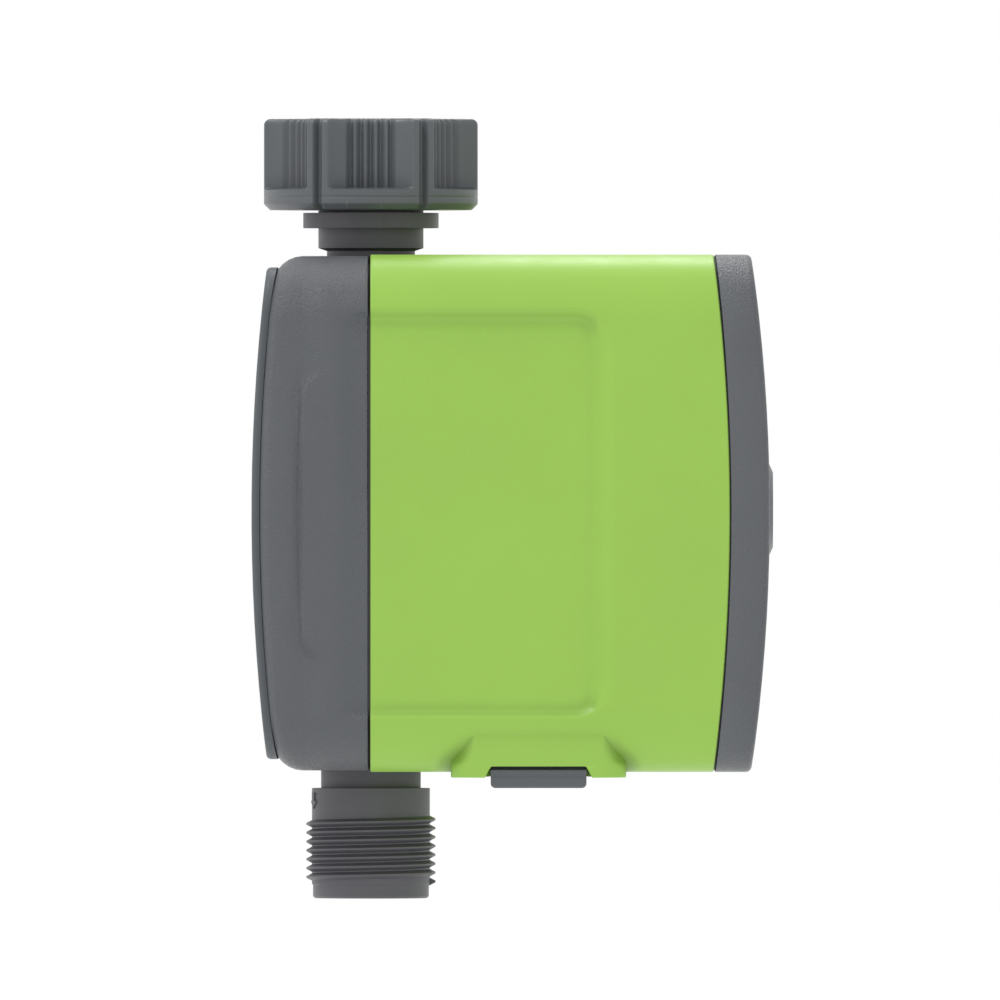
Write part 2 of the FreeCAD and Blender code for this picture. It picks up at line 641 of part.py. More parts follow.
def gearbox():
    """A pan screwed to the valve's posts and the lid that carries the motor."""
    spacing = "gear_module * (wheel_teeth + pinion_teeth) / 2"
    low = ("boss_end", "-box_right", "ball_height - box_half_height - box_wall")
    pan = box("gearbox_pan", low, ("box_front", "box_left", "ball_height + box_half_height + box_wall"))
    hollow = box("gearbox_hollow",
                 ("boss_end + 2", "-box_right + box_wall", "ball_height - box_half_height"),
                 ("box_front + 1", "box_left - box_wall", "ball_height + box_half_height"))
    stem_hole = cylinder("gearbox_stem_hole", "stem_radius + fit_gap", 4,
                         ("boss_end - 1", 0, "ball_height"), ALONG_X)
    axle_hole = cylinder("gearbox_axle_hole", "axle_radius", 4, (18, spacing, "ball_height"), ALONG_X)
    corners = [(f"{y} * 10.6", f"ball_height + {z} * 10") for y in (-1, 1) for z in (-1, 1)]
    screw_holes = [cylinder(f"gearbox_screw_hole_{n}", "screw_radius + 0.1", 4, ("boss_end - 1", y, z),
                            ALONG_X)
                   for n, (y, z) in enumerate(corners)]
    keep("gearbox_base", cut("gearbox_base", pan, hollow, stem_hole, axle_hole, *screw_holes))
    lid = box("gearbox_plate", ("box_front", "-box_right", "ball_height - box_half_height - box_wall"),
              ("box_front + 2", "box_left", "ball_height + box_half_height + box_wall"))
    nose_hole = cylinder("gearbox_nose_hole", 3.3, 4, ("box_front - 1", f"-({spacing})", "ball_height"),
                         ALONG_X)
    axles = [cylinder(f"gearbox_lid_axle_{n}", "axle_radius", 1.4, ("box_front", y, "ball_height"), ALONG_X)
             for n, y in enumerate((0, spacing))]
    keep("gearbox_cover", cut("gearbox_cover", lid, nose_hole, *axles))
    keep("gearbox_screws", group("gearbox_screws", [
        screw(f"gearbox_screw_{n}", 9.5, ("boss_end + 2 + screw_head_height", y, z),
              Rotation(Vector(0, 1, 0), -90))
        for n, (y, z) in enumerate(corners)]))
    can = revolved("motor_barrel", [
        (1.1, -1.6), (3, -1.6), (3, 0), ("motor_radius - 0.8", 0), ("motor_radius", 0.8),
        ("motor_radius", "motor_length - 1"),
        ("motor_radius - 1", "motor_length"), (3.2, "motor_length"), (3.2, "motor_length + 1.6"),
        (0, "motor_length + 1.6"), (0, 12), (1.1, 12)],
        ("box_front + 2", f"-({spacing})", "ball_height"), ALONG_X)
    flats = box("motor_flats", ("box_front - 2", f"-({spacing}) - motor_radius", "ball_height - 7.7"),
                ("box_front + motor_length + 9", f"-({spacing}) + motor_radius", "ball_height + 7.7"))
    keep("motor_can", common("motor_can", can, flats))
    keep("motor_leads", group("motor_leads", [
        cylinder(f"motor_lead_{n}", 0.6, "board_back - box_front - 2 - motor_length",
                 ("box_front + 2 + motor_length", f"-({spacing}) + {y} * 6", "ball_height"), ALONG_X)
        for n, y in enumerate((-1, 1))]))


# ---- housing --------------------------------------------------------------------------------

def spigot_holes(tag):
    """Clearance for the inlet's and outlet's necks through a housing's top and bottom."""
    top = cylinder(f"{tag}_inlet_hole", "spigot_radius + fit_gap", 12,
                   (0, 0, "mid_height + half_height - 6"))
    bottom = cylinder(f"{tag}_outlet_hole", "outlet_neck + fit_gap", 12,
                      (0, 0, "mid_height - half_height - 6"))
    return [top, bottom]


def side_recess(tag, side):
    """The shallow pan in one side wall: a flat floor, with walls that slope out to a wider rim."""
    pan = doc.addObject("Part::Wedge", tag)
    floor = ("-recess_back + 1", "recess_front - recess_slope", "recess_top - recess_ledge")
    rim = ("-recess_back", "recess_front", "recess_top")
    low, high = (rim, floor) if side < 0 else (floor, rim)
    depth = "recess_depth + 0.01"
    bind(pan, Xmin=low[0], Xmax=low[1], Zmin=f"-({low[2]})", Zmax=low[2], Ymin=0, Ymax=depth,
         X2min=high[0], X2max=high[1], Z2min=f"-({high[2]})", Z2max=high[2])
    inner = "half_width - recess_depth"
    return place(pan, (0, inner if side > 0 else f"-({inner}) - ({depth})", "mid_height"))


def rear_shell():
    outer = shell_block("rear_outer", "half_height - rear_drop", "half_width - rear_drop",
                        "-rear_depth", "rear_bow", "-seam_gap", None, "corner_radius")
    limit = -value("rear_depth") + 0.01
    round_edges(outer, "rear_back_edge", "rear_edge", lambda edge: edge.XMax < limit)
    inner = shell_block("rear_inner", "half_height - rear_drop - wall", "half_width - rear_drop - wall",
                        "-rear_depth + wall", "rear_bow", 1, None, "corner_radius - wall")
    hollow = cut("rear_hollow", outer, inner)
    bosses = [cylinder(f"rear_boss_{n}", 4.2, "rear_depth - wall - seam_gap + 1",
                       ("-rear_depth + wall - 1", y, z), ALONG_X)
              for n, (y, z) in enumerate(four_corners("half_width - 9", "half_height - 12"))]
    shafts = [cylinder(f"rear_screw_way_{n}", "screw_radius + 0.15", 40, (-30, y, z), ALONG_X)
              for n, (y, z) in enumerate(four_corners("half_width - 9", "half_height - 12"))]
    sinks = [cylinder(f"rear_sink_{n}", "screw_head + 0.3", 20, ("-rear_depth + 1.4 - 20", y, z), ALONG_X)
             for n, (y, z) in enumerate(four_corners("half_width - 9", "half_height - 12"))]
    recesses = [side_recess(f"rear_recess_{n}", side) for n, side in enumerate((-1, 1))]
    solid = fuse("rear_solid", hollow, *bosses)
    drilled = cut("rear_drilled", solid, *shafts, *sinks, *spigot_holes("rear"))
    keep("rear_shell", cut("rear_shell", drilled, *recesses))
    keep("housing_screws", group("housing_screws", [
        screw(f"housing_screw_{n}", 26, ("-rear_depth + 1.4 - screw_head_height", y, z), ALONG_X)
        for n, (y, z) in enumerate(four_corners("half_width - 9", "half_height - 12"))]))


def rear_panel():
    """Bowed cover plate over the rear shell's screws."""
    block = shell_block("panel_block", "panel_half_height", "panel_half_width",
                        "-panel_depth", "panel_bow", -17, None, "panel_corner")
    limit = -value("panel_depth") + 0.01
    round_edges(block, "panel_edge", 1, lambda edge: edge.XMax < limit)
    shape = shell_block("panel_seat", "half_height - rear_drop", "half_width - rear_drop",
                        "-rear_depth - 0.05", "rear_bow", 1, None, "corner_radius")
    round_edges(shape, "panel_seat_edge", "rear_edge", lambda edge: edge.XMax < -value("rear_depth"))
    keep("rear_panel", cut("rear_panel", block, shape))


def seam_ring(name, back, front, inset):
    """A straight ring that follows the housing's section, its outside this far inside the skin."""
    outer = shell_block(f"{name}_outer", f"half_height - {inset}", f"half_width - {inset}", back, None,
                        front, None, f"corner_radius - {inset}")
    inner = shell_block(f"{name}_inner", "half_height - wall", "half_width - wall", f"{back} - 1", None,
                        f"{front} + 1", None, "corner_radius - wall")
    return cut(name, outer, inner)


def gaskets():
    """The thin seals in the two seams; the front one is bowed like the shells it lies between."""
    rear_ring = seam_ring("rear_seam", "-seam_gap", 0, "rear_gasket_inset")
    keep("rear_gasket", cut("rear_gasket", rear_ring, *spigot_holes("rear_gasket")))
    high = "half_height"
    arc = "(half_height^2 + mid_bow^2) / (2 * mid_bow)"
    sheet_of_rubber = padded("front_seam_sheet", [
        ("mid_depth", f"-{high}"), ("mid_depth + 0.3", f"-{high}", arc), ("mid_depth + 0.3", high),
        ("mid_depth", high, f"-{arc}")], "2 * half_width", "XZ_Plane", (0, 0, "mid_height"), symmetric=True)
    front_ring = seam_ring("front_seam", "mid_depth - 1", "mid_depth + 6", "front_gasket_inset")
    keep("front_gasket", common("front_gasket", front_ring, sheet_of_rubber))


def battery_bay():
    """The bay's walls, the collar round its mouth, and the room they enclose."""
    walls = box("bay_walls",
                ("bay_middle - bay_half_depth - bay_wall", "-bay_half_width - bay_wall", "bay_rim"),
                ("bay_middle + bay_half_depth + bay_wall", "bay_half_width + bay_wall",
                 "bay_roof + bay_wall"))
    collar = rounded_plate("collar", "collar_half_depth", "collar_half_width", "-104.5 - collar_bottom",
                           "collar_corner", ("bay_middle", 0, "collar_bottom"))
    inside = "collar_half_depth - collar_wall"
    room = box("bay_room", ("bay_middle - bay_half_depth", "-bay_half_width", "bay_rim - 1"),
               ("bay_middle + bay_half_depth", "bay_half_width", "bay_roof"))
    mouth = box("bay_mouth", (f"bay_middle - ({inside})", "-latch_room", "collar_bottom - 1"),
                (f"bay_middle + {inside}", "latch_room", "bay_rim"))
    pockets = []
    notches = []
    for tag, low, high in (("right", "-latch_room", "-bay_half_width - bay_wall"),
                           ("left", "bay_half_width + bay_wall", "latch_room")):
        pockets.append(box(f"latch_pocket_{tag}", (f"bay_middle - ({inside})", low, "bay_rim - 1"),
                           (f"bay_middle + {inside}", high, "-106")))
        side = -1 if tag == "right" else 1
        edge = ("latch_room - 1", "collar_half_width + 2")
        if side < 0:
            edge = ("-collar_half_width - 2", "-latch_room + 1")
        notches.append(box(f"latch_notch_{tag}",
                           ("bay_middle - latch_half_width - 1.1", edge[0], "collar_bottom - 1"),
                           ("bay_middle + latch_half_width + 1.1", edge[1], -120.9)))
    return [walls, collar], [room, mouth, *pockets, *notches]


def mid_housing():
    outer = shell_block("mid_outer", "half_height", "half_width", 0, None, "mid_depth", "mid_bow",
                        "corner_radius")
    inner = shell_block("mid_inner", "half_height - wall", "half_width - wall", -1, None, "mid_depth + 9",
                        None,
                        "corner_radius - wall")
    sleeve = cut("mid_sleeve", outer, inner)
    walls, rooms = battery_bay()
    rear_spots = four_corners("half_width - 9", "half_height - 12")
    front_spots = four_corners("half_width - 8", "half_height - 8.2")
    bosses = [cylinder(f"mid_rear_boss_{n}", 4.2, 12, (0, y, z), ALONG_X)
              for n, (y, z) in enumerate(rear_spots)]
    bosses += [cylinder(f"mid_front_boss_{n}", 4.4, 9.5, (60, y, z), ALONG_X)
               for n, (y, z) in enumerate(front_spots)]
    ribs = [box(f"mid_rib_{n}", (0, min((y, f"{y} + {side} * 8"), key=value), f"{z} - 1"),
                (11, max((y, f"{y} + {side} * 8"), key=value), f"{z} + 1"))
            for n, ((y, z), side) in enumerate(zip(rear_spots, (-1, -1, 1, 1)))]
    boss_zone = common("mid_bosses", fuse("mid_boss_set", *bosses, *ribs), outer)
    solid = fuse("mid_solid", sleeve, boss_zone, *walls)
    holes = [cylinder(f"mid_rear_hole_{n}", "screw_radius", 11, (-1, y, z), ALONG_X)
             for n, (y, z) in enumerate(rear_spots)]
    holes += [cylinder(f"mid_front_hole_{n}", "screw_radius + 0.1", 20, (58, y, z), ALONG_X)
              for n, (y, z) in enumerate(front_spots)]
    recesses = [side_recess(f"mid_recess_{n}", side) for n, side in enumerate((-1, 1))]
    hollowed = cut("mid_hollowed", solid, *rooms)
    drilled = cut("mid_drilled", hollowed, *holes, *spigot_holes("mid"))
    keep("mid_housing", cut("mid_housing", drilled, *recesses))
    keep("cover_screws", group("cover_screws", [
        screw(f"cover_screw_{n}", 15.5, ("60 - screw_head_height", y, z), ALONG_X)
        for n, (y, z) in enumerate(front_spots)]))


def front_cover():
    outer = shell_block("front_outer", "half_height", "half_width", "mid_depth + 0.3", None,
                        "front_depth", "front_bow", "corner_radius")
    limit = value("front_depth") - 0.01
    round_edges(outer, "front_edge_round", "front_edge", lambda edge: edge.XMin > limit)
    behind = shell_block("front_behind", "half_height + 1", "half_width + 1", "mid_depth - 9", None,
                         "mid_depth + 0.3", "mid_bow", "corner_radius")
    inner = shell_block("front_inner", "half_height - wall", "half_width - wall", "mid_depth - 5", None,
                        "front_depth - wall", "front_bow", "corner_radius - wall")
    hollow = cut("front_hollow", outer, inner)
    spots = four_corners("half_width - 8", "half_height - 8.2")
    posts = [cylinder(f"front_post_{n}", 3.2, 6, (71.4, y, z), ALONG_X) for n, (y, z) in enumerate(spots)]
    board_spots = [(f"{y} * post_side", f"button_height + {z} * post_height")
                   for y in (-1, 1) for z in (-1, 1)]
    posts += [cylinder(f"board_post_{n}", 2.8, 6, ("board_back + board_thick", y, z), ALONG_X)
              for n, (y, z) in enumerate(board_spots)]
    solid = fuse("front_solid", cut("front_skin", hollow, behind),
                 common("front_posts", fuse("post_set", *posts), outer))
    holes = [cylinder(f"front_post_hole_{n}", "screw_radius", 5, (71, y, z), ALONG_X)
             for n, (y, z) in enumerate(spots)]
    holes += [cylinder(f"board_post_hole_{n}", "screw_radius", 5, (71, y, z), ALONG_X)
              for n, (y, z) in enumerate(board_spots)]
    button_hole = cylinder("button_hole", "button_radius + fit_gap", 20, (70, 0, "button_height"), ALONG_X)
    pipe_hole = cylinder("light_pipe_hole", 1.5, 20, (70, 0, "button_height + 24"), ALONG_X)
    keep("front_cover", cut("front_cover", solid, *holes, button_hole, pipe_hole))


# ---- board and button -----------------------------------------------------------------------

def board_pieces():
    """The board on the front cover's posts, with its switch, light and larger components."""
    low = ("board_back", "-board_half_width", "button_height - board_half_height")
    board = box("board_blank", low,
                ("board_back + board_thick", "board_half_width", "button_height + board_half_height"))
    spots = [(f"{y} * post_side", f"button_height + {z} * post_height") for y in (-1, 1) for z in (-1, 1)]
    holes = [cylinder(f"board_hole_{n}", "screw_radius + 0.1", 4, ("board_back - 1", y, z), ALONG_X)
             for n, (y, z) in enumerate(spots)]
    keep("circuit_board", cut("circuit_board", board, *holes))
    keep("board_screws", group("board_screws", [
        screw(f"board_screw_{n}", 7.2, ("board_back - screw_head_height", y, z), ALONG_X)
        for n, (y, z) in enumerate(spots)]))
    face = "board_back + board_thick"
    case = box("switch_case", (face, -6, "button_height - 6"), (f"{face} + 3.6", 6, "button_height + 6"))
    way = cylinder("switch_way", "1.9 + running_gap", 5, (f"{face} + 1.6", 0, "button_height"), ALONG_X)
    keep("tact_switch", cut("tact_switch", case, way))
    keep("switch_plunger",
         cylinder("switch_plunger", 1.9, 4.3, (f"{face} + 2.4", 0, "button_height"), ALONG_X))
    lamp = fuse("lamp", cylinder("lamp_base", 1.5, 2.4, (face, 0, "button_height + 24"), ALONG_X),
                cone("lamp_top", 1.5, 0.8, 0.8, (f"{face} + 2.4", 0, "button_height + 24"), ALONG_X))
    keep("status_led", lamp)
    keep("light_pipe", cylinder("light_pipe", 1.5, 5.1, (75.4, 0, "button_height + 24"), ALONG_X))
    keep("radio_module", box("radio_module", (face, -9, -106), (f"{face} + 2.6", 9, -84)))
    keep("control_chip", box("control_chip", (face, 11, -62), (f"{face} + 1.6", 21, -52)))
    keep("backup_capacitor", cylinder("backup_capacitor", 5, 16, ("board_back - 5", 16, -100)))
    keep("battery_leads", group("battery_leads", [
        cylinder(f"battery_lead_{n}", 0.6, "board_back - bay_middle - bay_half_depth - bay_wall",
                 ("bay_middle + bay_half_depth + bay_wall", f"{y} * 9", -97),
                 ALONG_X)
        for n, y in enumerate((-1, 1))]))


def button_pieces():
    """The round button, held behind the cover by its flange, and the seal round it."""
    keep("front_button", revolved("front_button", [
        (0, "board_back + 8.35"), (4, "board_back + 8.35"), (4, 79.6), (8.2, 79.6), (8.2, 77.1),
        (11.6, 77.1),
        (11.6, 78.1), ("button_radius", 78.1), ("button_radius", 81.2), ("button_face", "button_front"),
        (0, "button_front")], (0, 0, "button_height"), ALONG_X))
    keep("button_seal", revolved("button_seal", [
        (12, 76.6), (14.4, 76.6), (14.4, 78.3), (13.4, 78.3), (13.4, 77.6), (12, 77.6)],
        (0, 0, "button_height"), ALONG_X))


# ---- battery tray ---------------------------------------------------------------------------

def battery_tray():
    """The sliding cradle, its four cells and the contacts at both ends."""
    low_x, high_x = "bay_middle - bay_half_depth + 0.3", "bay_middle + bay_half_depth - 0.3"
    floor = box("tray_floor", (low_x, -29.6, -119.2), (high_x, 29.6, -118))
    ends = [box(f"tray_end_{n}", (low_x, low, -118.2), (high_x, high, -87.6)) for n, (low, high) in
            enumerate(((-29.6, -27.8), (27.8, 29.6)))]
    saddle = box("tray_saddle", ("bay_middle - 4", -14, -118.2), ("bay_middle + 4", 14, -113.5))
    solid = fuse("tray_solid", floor, *ends, saddle)
    spots = [(f"bay_middle + {x} * cell_spacing / 2", f"-110.55 + {z} * cell_spacing") for z in (0, 1)
             for x in (-1, 1)]
    ways = [cylinder(f"tray_way_{n}", "cell_radius + 0.12", "cell_length + 2",
                     (x, "-cell_length / 2 - 1", z), ALONG_Y)
            for n, (x, z) in enumerate(spots)]
    keep("battery_tray", cut("battery_tray", solid, *ways))
    contacts = []
    for n, (x, z) in enumerate(spots):
        flip = 1 if n % 3 == 0 else -1
        keep(f"battery_cell_{n + 1}", cell(f"battery_cell_{n + 1}", x, z, flip))
        contacts.append(box(f"contact_plate_{n}", (f"{x} - 4.5", 27.3, f"{z} - 4.5"),
                            (f"{x} + 4.5", 27.8, f"{z} + 4.5")))
        contacts.append(box(f"contact_back_{n}", (f"{x} - 4.5", -27.8, f"{z} - 4.5"),
                            (f"{x} + 4.5", -27.3, f"{z} + 4.5")))
        spring_y = "-27.3" if flip > 0 else "cell_length / 2 + 0.05"
        contacts.append(spring(f"contact_spring_{n}", x, spring_y, z, flip))
    keep("battery_contacts", group("battery_contacts", contacts))
    keep("bay_contacts", group("bay_contacts", [
        box(f"bay_contact_{n}", (x, -3, "bay_roof - 0.5"), (f"{x} + 8", 3, "bay_roof"))
        for n, x in enumerate(("bay_middle - 11", "bay_middle + 3"))]))


def spring(name, x, y, z, flip):
    """The conical end spring of one cell, as three stacked rings between plate and cell."""
    gap = "(27.3 - cell_length / 2 - 0.05)"
    shell = cone(f"{name}_shell", 3.4 if flip > 0 else 2.4, 2.4 if flip > 0 else 3.4, gap, (x, y, z),
                 ALONG_Y)
    core = cone(f"{name}_core", 2.9 if flip > 0 else 1.9, 1.9 if flip > 0 else 2.9, gap, (x, y, z), ALONG_Y)
    return cut(name, shell, core)


def cell(name, x, z, flip):
    """One AA cell lying along Y, its raised positive end away from the spring."""
    half = "cell_length / 2"
    outline = [(0, f"-{half}"), ("cell_radius - 0.4", f"-{half}"), ("cell_radius", f"-{half} + 0.4"),
               ("cell_radius", f"{half} - 0.4"), ("cell_radius - 0.4", half), (2.7, half),
               (2.7, f"{half} + 1.3"),
               (0, f"{half} + 1.3")]
    return revolved(f"{name}_body", outline, (x, 0, z), Rotation(Vector(1, 0, 0), -90 * flip))


def battery_door():
    """The plate under the tray, its seal, its screws and the posts that carry the two latches."""
    plate = box("door_plate", ("bay_middle - collar_half_depth + collar_wall + 0.3", -39, -122.7),
                ("bay_middle + collar_half_depth - collar_wall - 0.3", 39, -120.7))
    step = box("door_step", ("bay_middle - 13.4", -29.4, -120.8), ("bay_middle + 13.4", 29.4, "bay_rim"))
    gaps = []
    posts = []
    for side in (-1, 1):
        low, high = sorted((f"{side} * 33", f"{side} * 40"), key=value)
        gaps.append(box(f"door_gap_{side + 1}", ("bay_middle - latch_half_width - 0.4", low, -124),
                        ("bay_middle + latch_half_width + 0.4", high, -119)))
        low, high = sorted((f"{side} * (latch_pivot_side - 2)", f"{side} * (latch_pivot_side + 1.9)"),
                           key=value)
        for tag, inner, outer in (("back", "-13.2", "-10.5"), ("front", "10.5", "13.2")):
            posts.append(box(f"door_post_{side + 1}_{tag}", (f"bay_middle + {inner}", low, -121),
                             (f"bay_middle + {outer}", high, "latch_pivot_height + 1.9")))
    solid = fuse("door_solid", cut("door_notched", plate, *gaps), step, *posts)
    pins = [cylinder(f"door_pin_hole_{n}", 0.8, 30,
                     ("bay_middle - 15", f"{side} * latch_pivot_side", "latch_pivot_height"),
                     ALONG_X) for n, side in enumerate((-1, 1))]
    threads = [cylinder(f"door_screw_hole_{n}", "screw_radius", 5, ("bay_middle", f"{y} * 21", -123))
               for n, y in enumerate((-1, 1))]
    sinks = [cylinder(f"door_sink_{n}", "screw_head + 0.2", "1.7", ("bay_middle", f"{y} * 21", -122.8))
             for n, y in enumerate((-1, 1))]
    keep("battery_door", cut("battery_door", solid, *pins, *threads, *sinks))
    keep("latch_pins", group("latch_pins", [
        cylinder(f"latch_pin_{n}", 0.8, 26,
                 ("bay_middle - 13", f"{side} * latch_pivot_side", "latch_pivot_height"), ALONG_X)
        for n, side in enumerate((-1, 1))]))
    frame = box("seal_outer", ("bay_middle - 16.3", -32, -120.7), ("bay_middle + 16.3", 32, -119.4))
    hole = box("seal_inner", ("bay_middle - 13.6", -30.2, -121), ("bay_middle + 13.6", 30.2, -119))
    keep("battery_door_seal", cut("battery_door_seal", frame, hole))


def latch(node, side):
    """One pinch latch: a barrel on its pin, an arm, a nose and the finger tab below the door."""
    outline = [(34.6, "latch_bottom + 0.8"), (35.4, "latch_bottom"), (41.1, "latch_bottom"),
               (41.9, "latch_bottom + 0.8"),
               (41.9, "latch_top_of_tab"), (38, "latch_top_of_tab"), (38, -118.6), (39, -118.2),
               (39, -117.2),
               (38, -115.4), (37.6, "latch_pivot_height"), (35.4, "latch_pivot_height"), (36.2, -115.4),
               (36.2, "latch_top_of_tab"), (34.6, "latch_top_of_tab")]
    if side < 0:
        outline = [(f"-({y})", z) for y, z in reversed(outline)]
    arm = padded(f"{node}_arm", outline, "2 * latch_half_width", "YZ_Plane", ("bay_middle", 0, 0),
                 symmetric=True)
    barrel = cylinder(f"{node}_barrel", 1.6, "2 * latch_half_width",
                      ("bay_middle - latch_half_width", f"{side} * latch_pivot_side",
                       "latch_pivot_height"), ALONG_X)
    bore = cylinder(f"{node}_bore", "0.8 + running_gap", 30,
                    ("bay_middle - 15", f"{side} * latch_pivot_side", "latch_pivot_height"), ALONG_X)
    keep(node, cut(node, fuse(f"{node}_solid", arm, barrel), bore))


# ---- build, check and write -----------------------------------------------------------------

def check_document():
    """Stop if any object failed or any sub-part isn't a valid solid."""
    doc.recompute()
    for thing in doc.Objects:
        failed = [state for state in thing.State if state in ("Invalid", "Error")]
        if failed:
            raise RuntimeError(f"{thing.Label} is {failed}: {thing.getStatusString()}")
    for node, thing in parts.items():
        if thing.Shape.isNull() or not thing.Shape.isValid() or not thing.Shape.Solids:
            raise RuntimeError(f"{node} has no valid solid")


inlet_nut()
inlet_pieces()
valve_body()
ball_and_seats()
valve_stem()
outlet_spigot()
doc.recompute()
gear_train()
gearbox()
rear_shell()
rear_panel()
gaskets()
mid_housing()
front_cover()
board_pieces()
button_pieces()
battery_tray()
battery_door()
latch("latch_right", -1)
latch("latch_left", 1)
check_document()
for node, thing in parts.items():
    thing.Shape.exportStep(f"parts/{node}.step")
    print(node, round(thing.Shape.Volume, 1), len(thing.Shape.Solids))
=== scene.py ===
import math

import bmesh
import bpy
import numpy as np
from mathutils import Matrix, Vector


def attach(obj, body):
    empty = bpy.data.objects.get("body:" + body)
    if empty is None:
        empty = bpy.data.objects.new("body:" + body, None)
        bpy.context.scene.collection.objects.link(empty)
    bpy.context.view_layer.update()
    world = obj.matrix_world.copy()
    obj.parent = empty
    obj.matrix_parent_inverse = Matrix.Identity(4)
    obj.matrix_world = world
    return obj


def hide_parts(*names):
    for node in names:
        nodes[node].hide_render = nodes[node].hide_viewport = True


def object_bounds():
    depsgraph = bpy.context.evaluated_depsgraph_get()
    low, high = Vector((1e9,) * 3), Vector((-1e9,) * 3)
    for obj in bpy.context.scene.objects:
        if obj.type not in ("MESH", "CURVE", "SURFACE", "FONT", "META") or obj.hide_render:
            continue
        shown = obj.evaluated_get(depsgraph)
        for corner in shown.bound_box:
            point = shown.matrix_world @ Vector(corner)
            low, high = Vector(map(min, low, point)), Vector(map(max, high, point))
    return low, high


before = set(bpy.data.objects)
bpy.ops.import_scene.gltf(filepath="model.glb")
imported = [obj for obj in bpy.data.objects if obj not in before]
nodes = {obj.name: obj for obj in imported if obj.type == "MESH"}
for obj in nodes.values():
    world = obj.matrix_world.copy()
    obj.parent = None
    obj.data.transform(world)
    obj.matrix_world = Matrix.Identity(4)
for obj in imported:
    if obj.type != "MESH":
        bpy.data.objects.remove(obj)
cad_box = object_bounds()
MM = 0.001


# ---------------------------------------------------------------- materials

OPEN_FACE, DEEP_HOLLOW = 0.985, 0.84      # ambient occlusion on a flat face and in a groove
WORN_LOW, WORN_HIGH = 0.53, 0.60          # pointiness where edge wear starts and is full
HOLLOW_REACH = 0.0035
CLOUD_SCALE, SMUDGE_SCALE = 38.0, 120.0
# HOLLOW_GAIN sets how dark the painted shade in grooves and corners goes.
SPECKLE_GAIN, WORN_GAIN, HOLLOW_GAIN = 1.35, 1.9, 0.5
SPECKLE_SHARE = 0.10


class Nodes:
    """A small helper round one material's node tree."""

    def __init__(self, name):
        self.material = bpy.data.materials.new(name)
        self.material.use_nodes = True
        self.tree = self.material.node_tree
        self.shader = self.tree.nodes["Principled BSDF"]
        self.place = self.add("ShaderNodeTexCoord").outputs["Object"]

    def add(self, kind, **settings):
        node = self.tree.nodes.new(kind)
        for key, value in settings.items():
            setattr(node, key, value)
        return node

    def link(self, source, target):
        self.tree.links.new(source, target)

    def noise(self, scale, detail=3.0, rough=0.5, place=None):
        node = self.add("ShaderNodeTexNoise")
        node.inputs["Scale"].default_value = scale
        node.inputs["Detail"].default_value = detail
        node.inputs["Roughness"].default_value = rough
        self.link(place or self.place, node.inputs["Vector"])
        return node.outputs["Fac"]

    def stretched(self, x, y, z):
        node = self.add("ShaderNodeMapping")
        node.inputs["Scale"].default_value = (x, y, z)
        self.link(self.place, node.inputs["Vector"])
        return node.outputs["Vector"]

    def spread(self, source, low, high, to_low, to_high):
        node = self.add("ShaderNodeMapRange")
        node.inputs["From Min"].default_value = low
        node.inputs["From Max"].default_value = high
        node.inputs["To Min"].default_value = to_low
        node.inputs["To Max"].default_value = to_high
        self.link(source, node.inputs["Value"])
        return node.outputs["Result"]

    def mix(self, factor, first, second):
        node = self.add("ShaderNodeMix", data_type="RGBA")
        self.link(factor, node.inputs["Factor"])
        for socket, value in ((node.inputs[6], first), (node.inputs[7], second)):
            if isinstance(value, tuple):
                socket.default_value = value
            else:
                self.link(value, socket)
        return node.outputs[2]

    def bump(self, source, strength, distance):
        node = self.add("ShaderNodeBump")
        node.inputs["Strength"].default_value = strength
        node.inputs["Distance"].default_value = distance
        self.link(source, node.inputs["Height"])
        return node.outputs["Normal"]

    def hollows(self, reach):
        """0 on an open face, rising where walls stand within reach metres, as in a groove or a corner; the mask
        for painted shade.
        """
        node = self.add("ShaderNodeAmbientOcclusion", samples=8)
        node.inputs["Distance"].default_value = reach
        return self.spread(node.outputs["AO"], DEEP_HOLLOW, OPEN_FACE, 1.0, 0.0)

    def edges(self):
        """1 on a worn convex edge and 0 on a flat face."""
        node = self.add("ShaderNodeNewGeometry")
        return self.spread(node.outputs["Pointiness"], WORN_LOW, WORN_HIGH, 0.0, 1.0)


def shade(tint, gain):
    return tuple(min(1.0, c * gain) for c in tint[:3]) + (1.0,)


def plastic(name, tint, rough=0.45, grain=2600.0, depth=0.00003, strength=0.35,
            drift=0.05, worn=0.16, subsurface=0.0, crease_shade=0.0):
    """Moulded plastic or rubber: fine grain, faint clouding, paler edges and painted shade darkening the
    hollows.
    """
    n = Nodes(name)
    clouds = n.spread(n.noise(CLOUD_SCALE, 4.0), 0.3, 0.7, 0.0, 1.0)
    base = n.mix(clouds, shade(tint, 1.0 - drift), shade(tint, 1.0 + drift))
    fine = n.noise(grain, 2.0, 0.6)
    speckle = n.spread(fine, 0.35, 0.75, 0.0, 1.0)
    base = n.mix(n.spread(speckle, 0.0, 1.0, 0.0, SPECKLE_SHARE), base, shade(tint, SPECKLE_GAIN))
    if worn:
        base = n.mix(n.spread(n.edges(), 0.0, 1.0, 0.0, worn), base, shade(tint, WORN_GAIN))
    # Painted shade: the colour darkens where ambient occlusion finds nearby walls, in grooves, creases and
    # corners.
    if crease_shade:
        hollows = n.spread(n.hollows(HOLLOW_REACH), 0.0, 1.0, 0.0, crease_shade)
        base = n.mix(hollows, base, shade(tint, HOLLOW_GAIN))
    n.link(base, n.shader.inputs["Base Color"])
    smudge = n.noise(SMUDGE_SCALE, 3.0)
    n.link(n.spread(smudge, 0.3, 0.7, rough - 0.05, rough + 0.06), n.shader.inputs["Roughness"])
    n.link(n.bump(fine, strength, depth), n.shader.inputs["Normal"])
    n.shader.inputs["Subsurface Weight"].default_value = subsurface
    return n.material


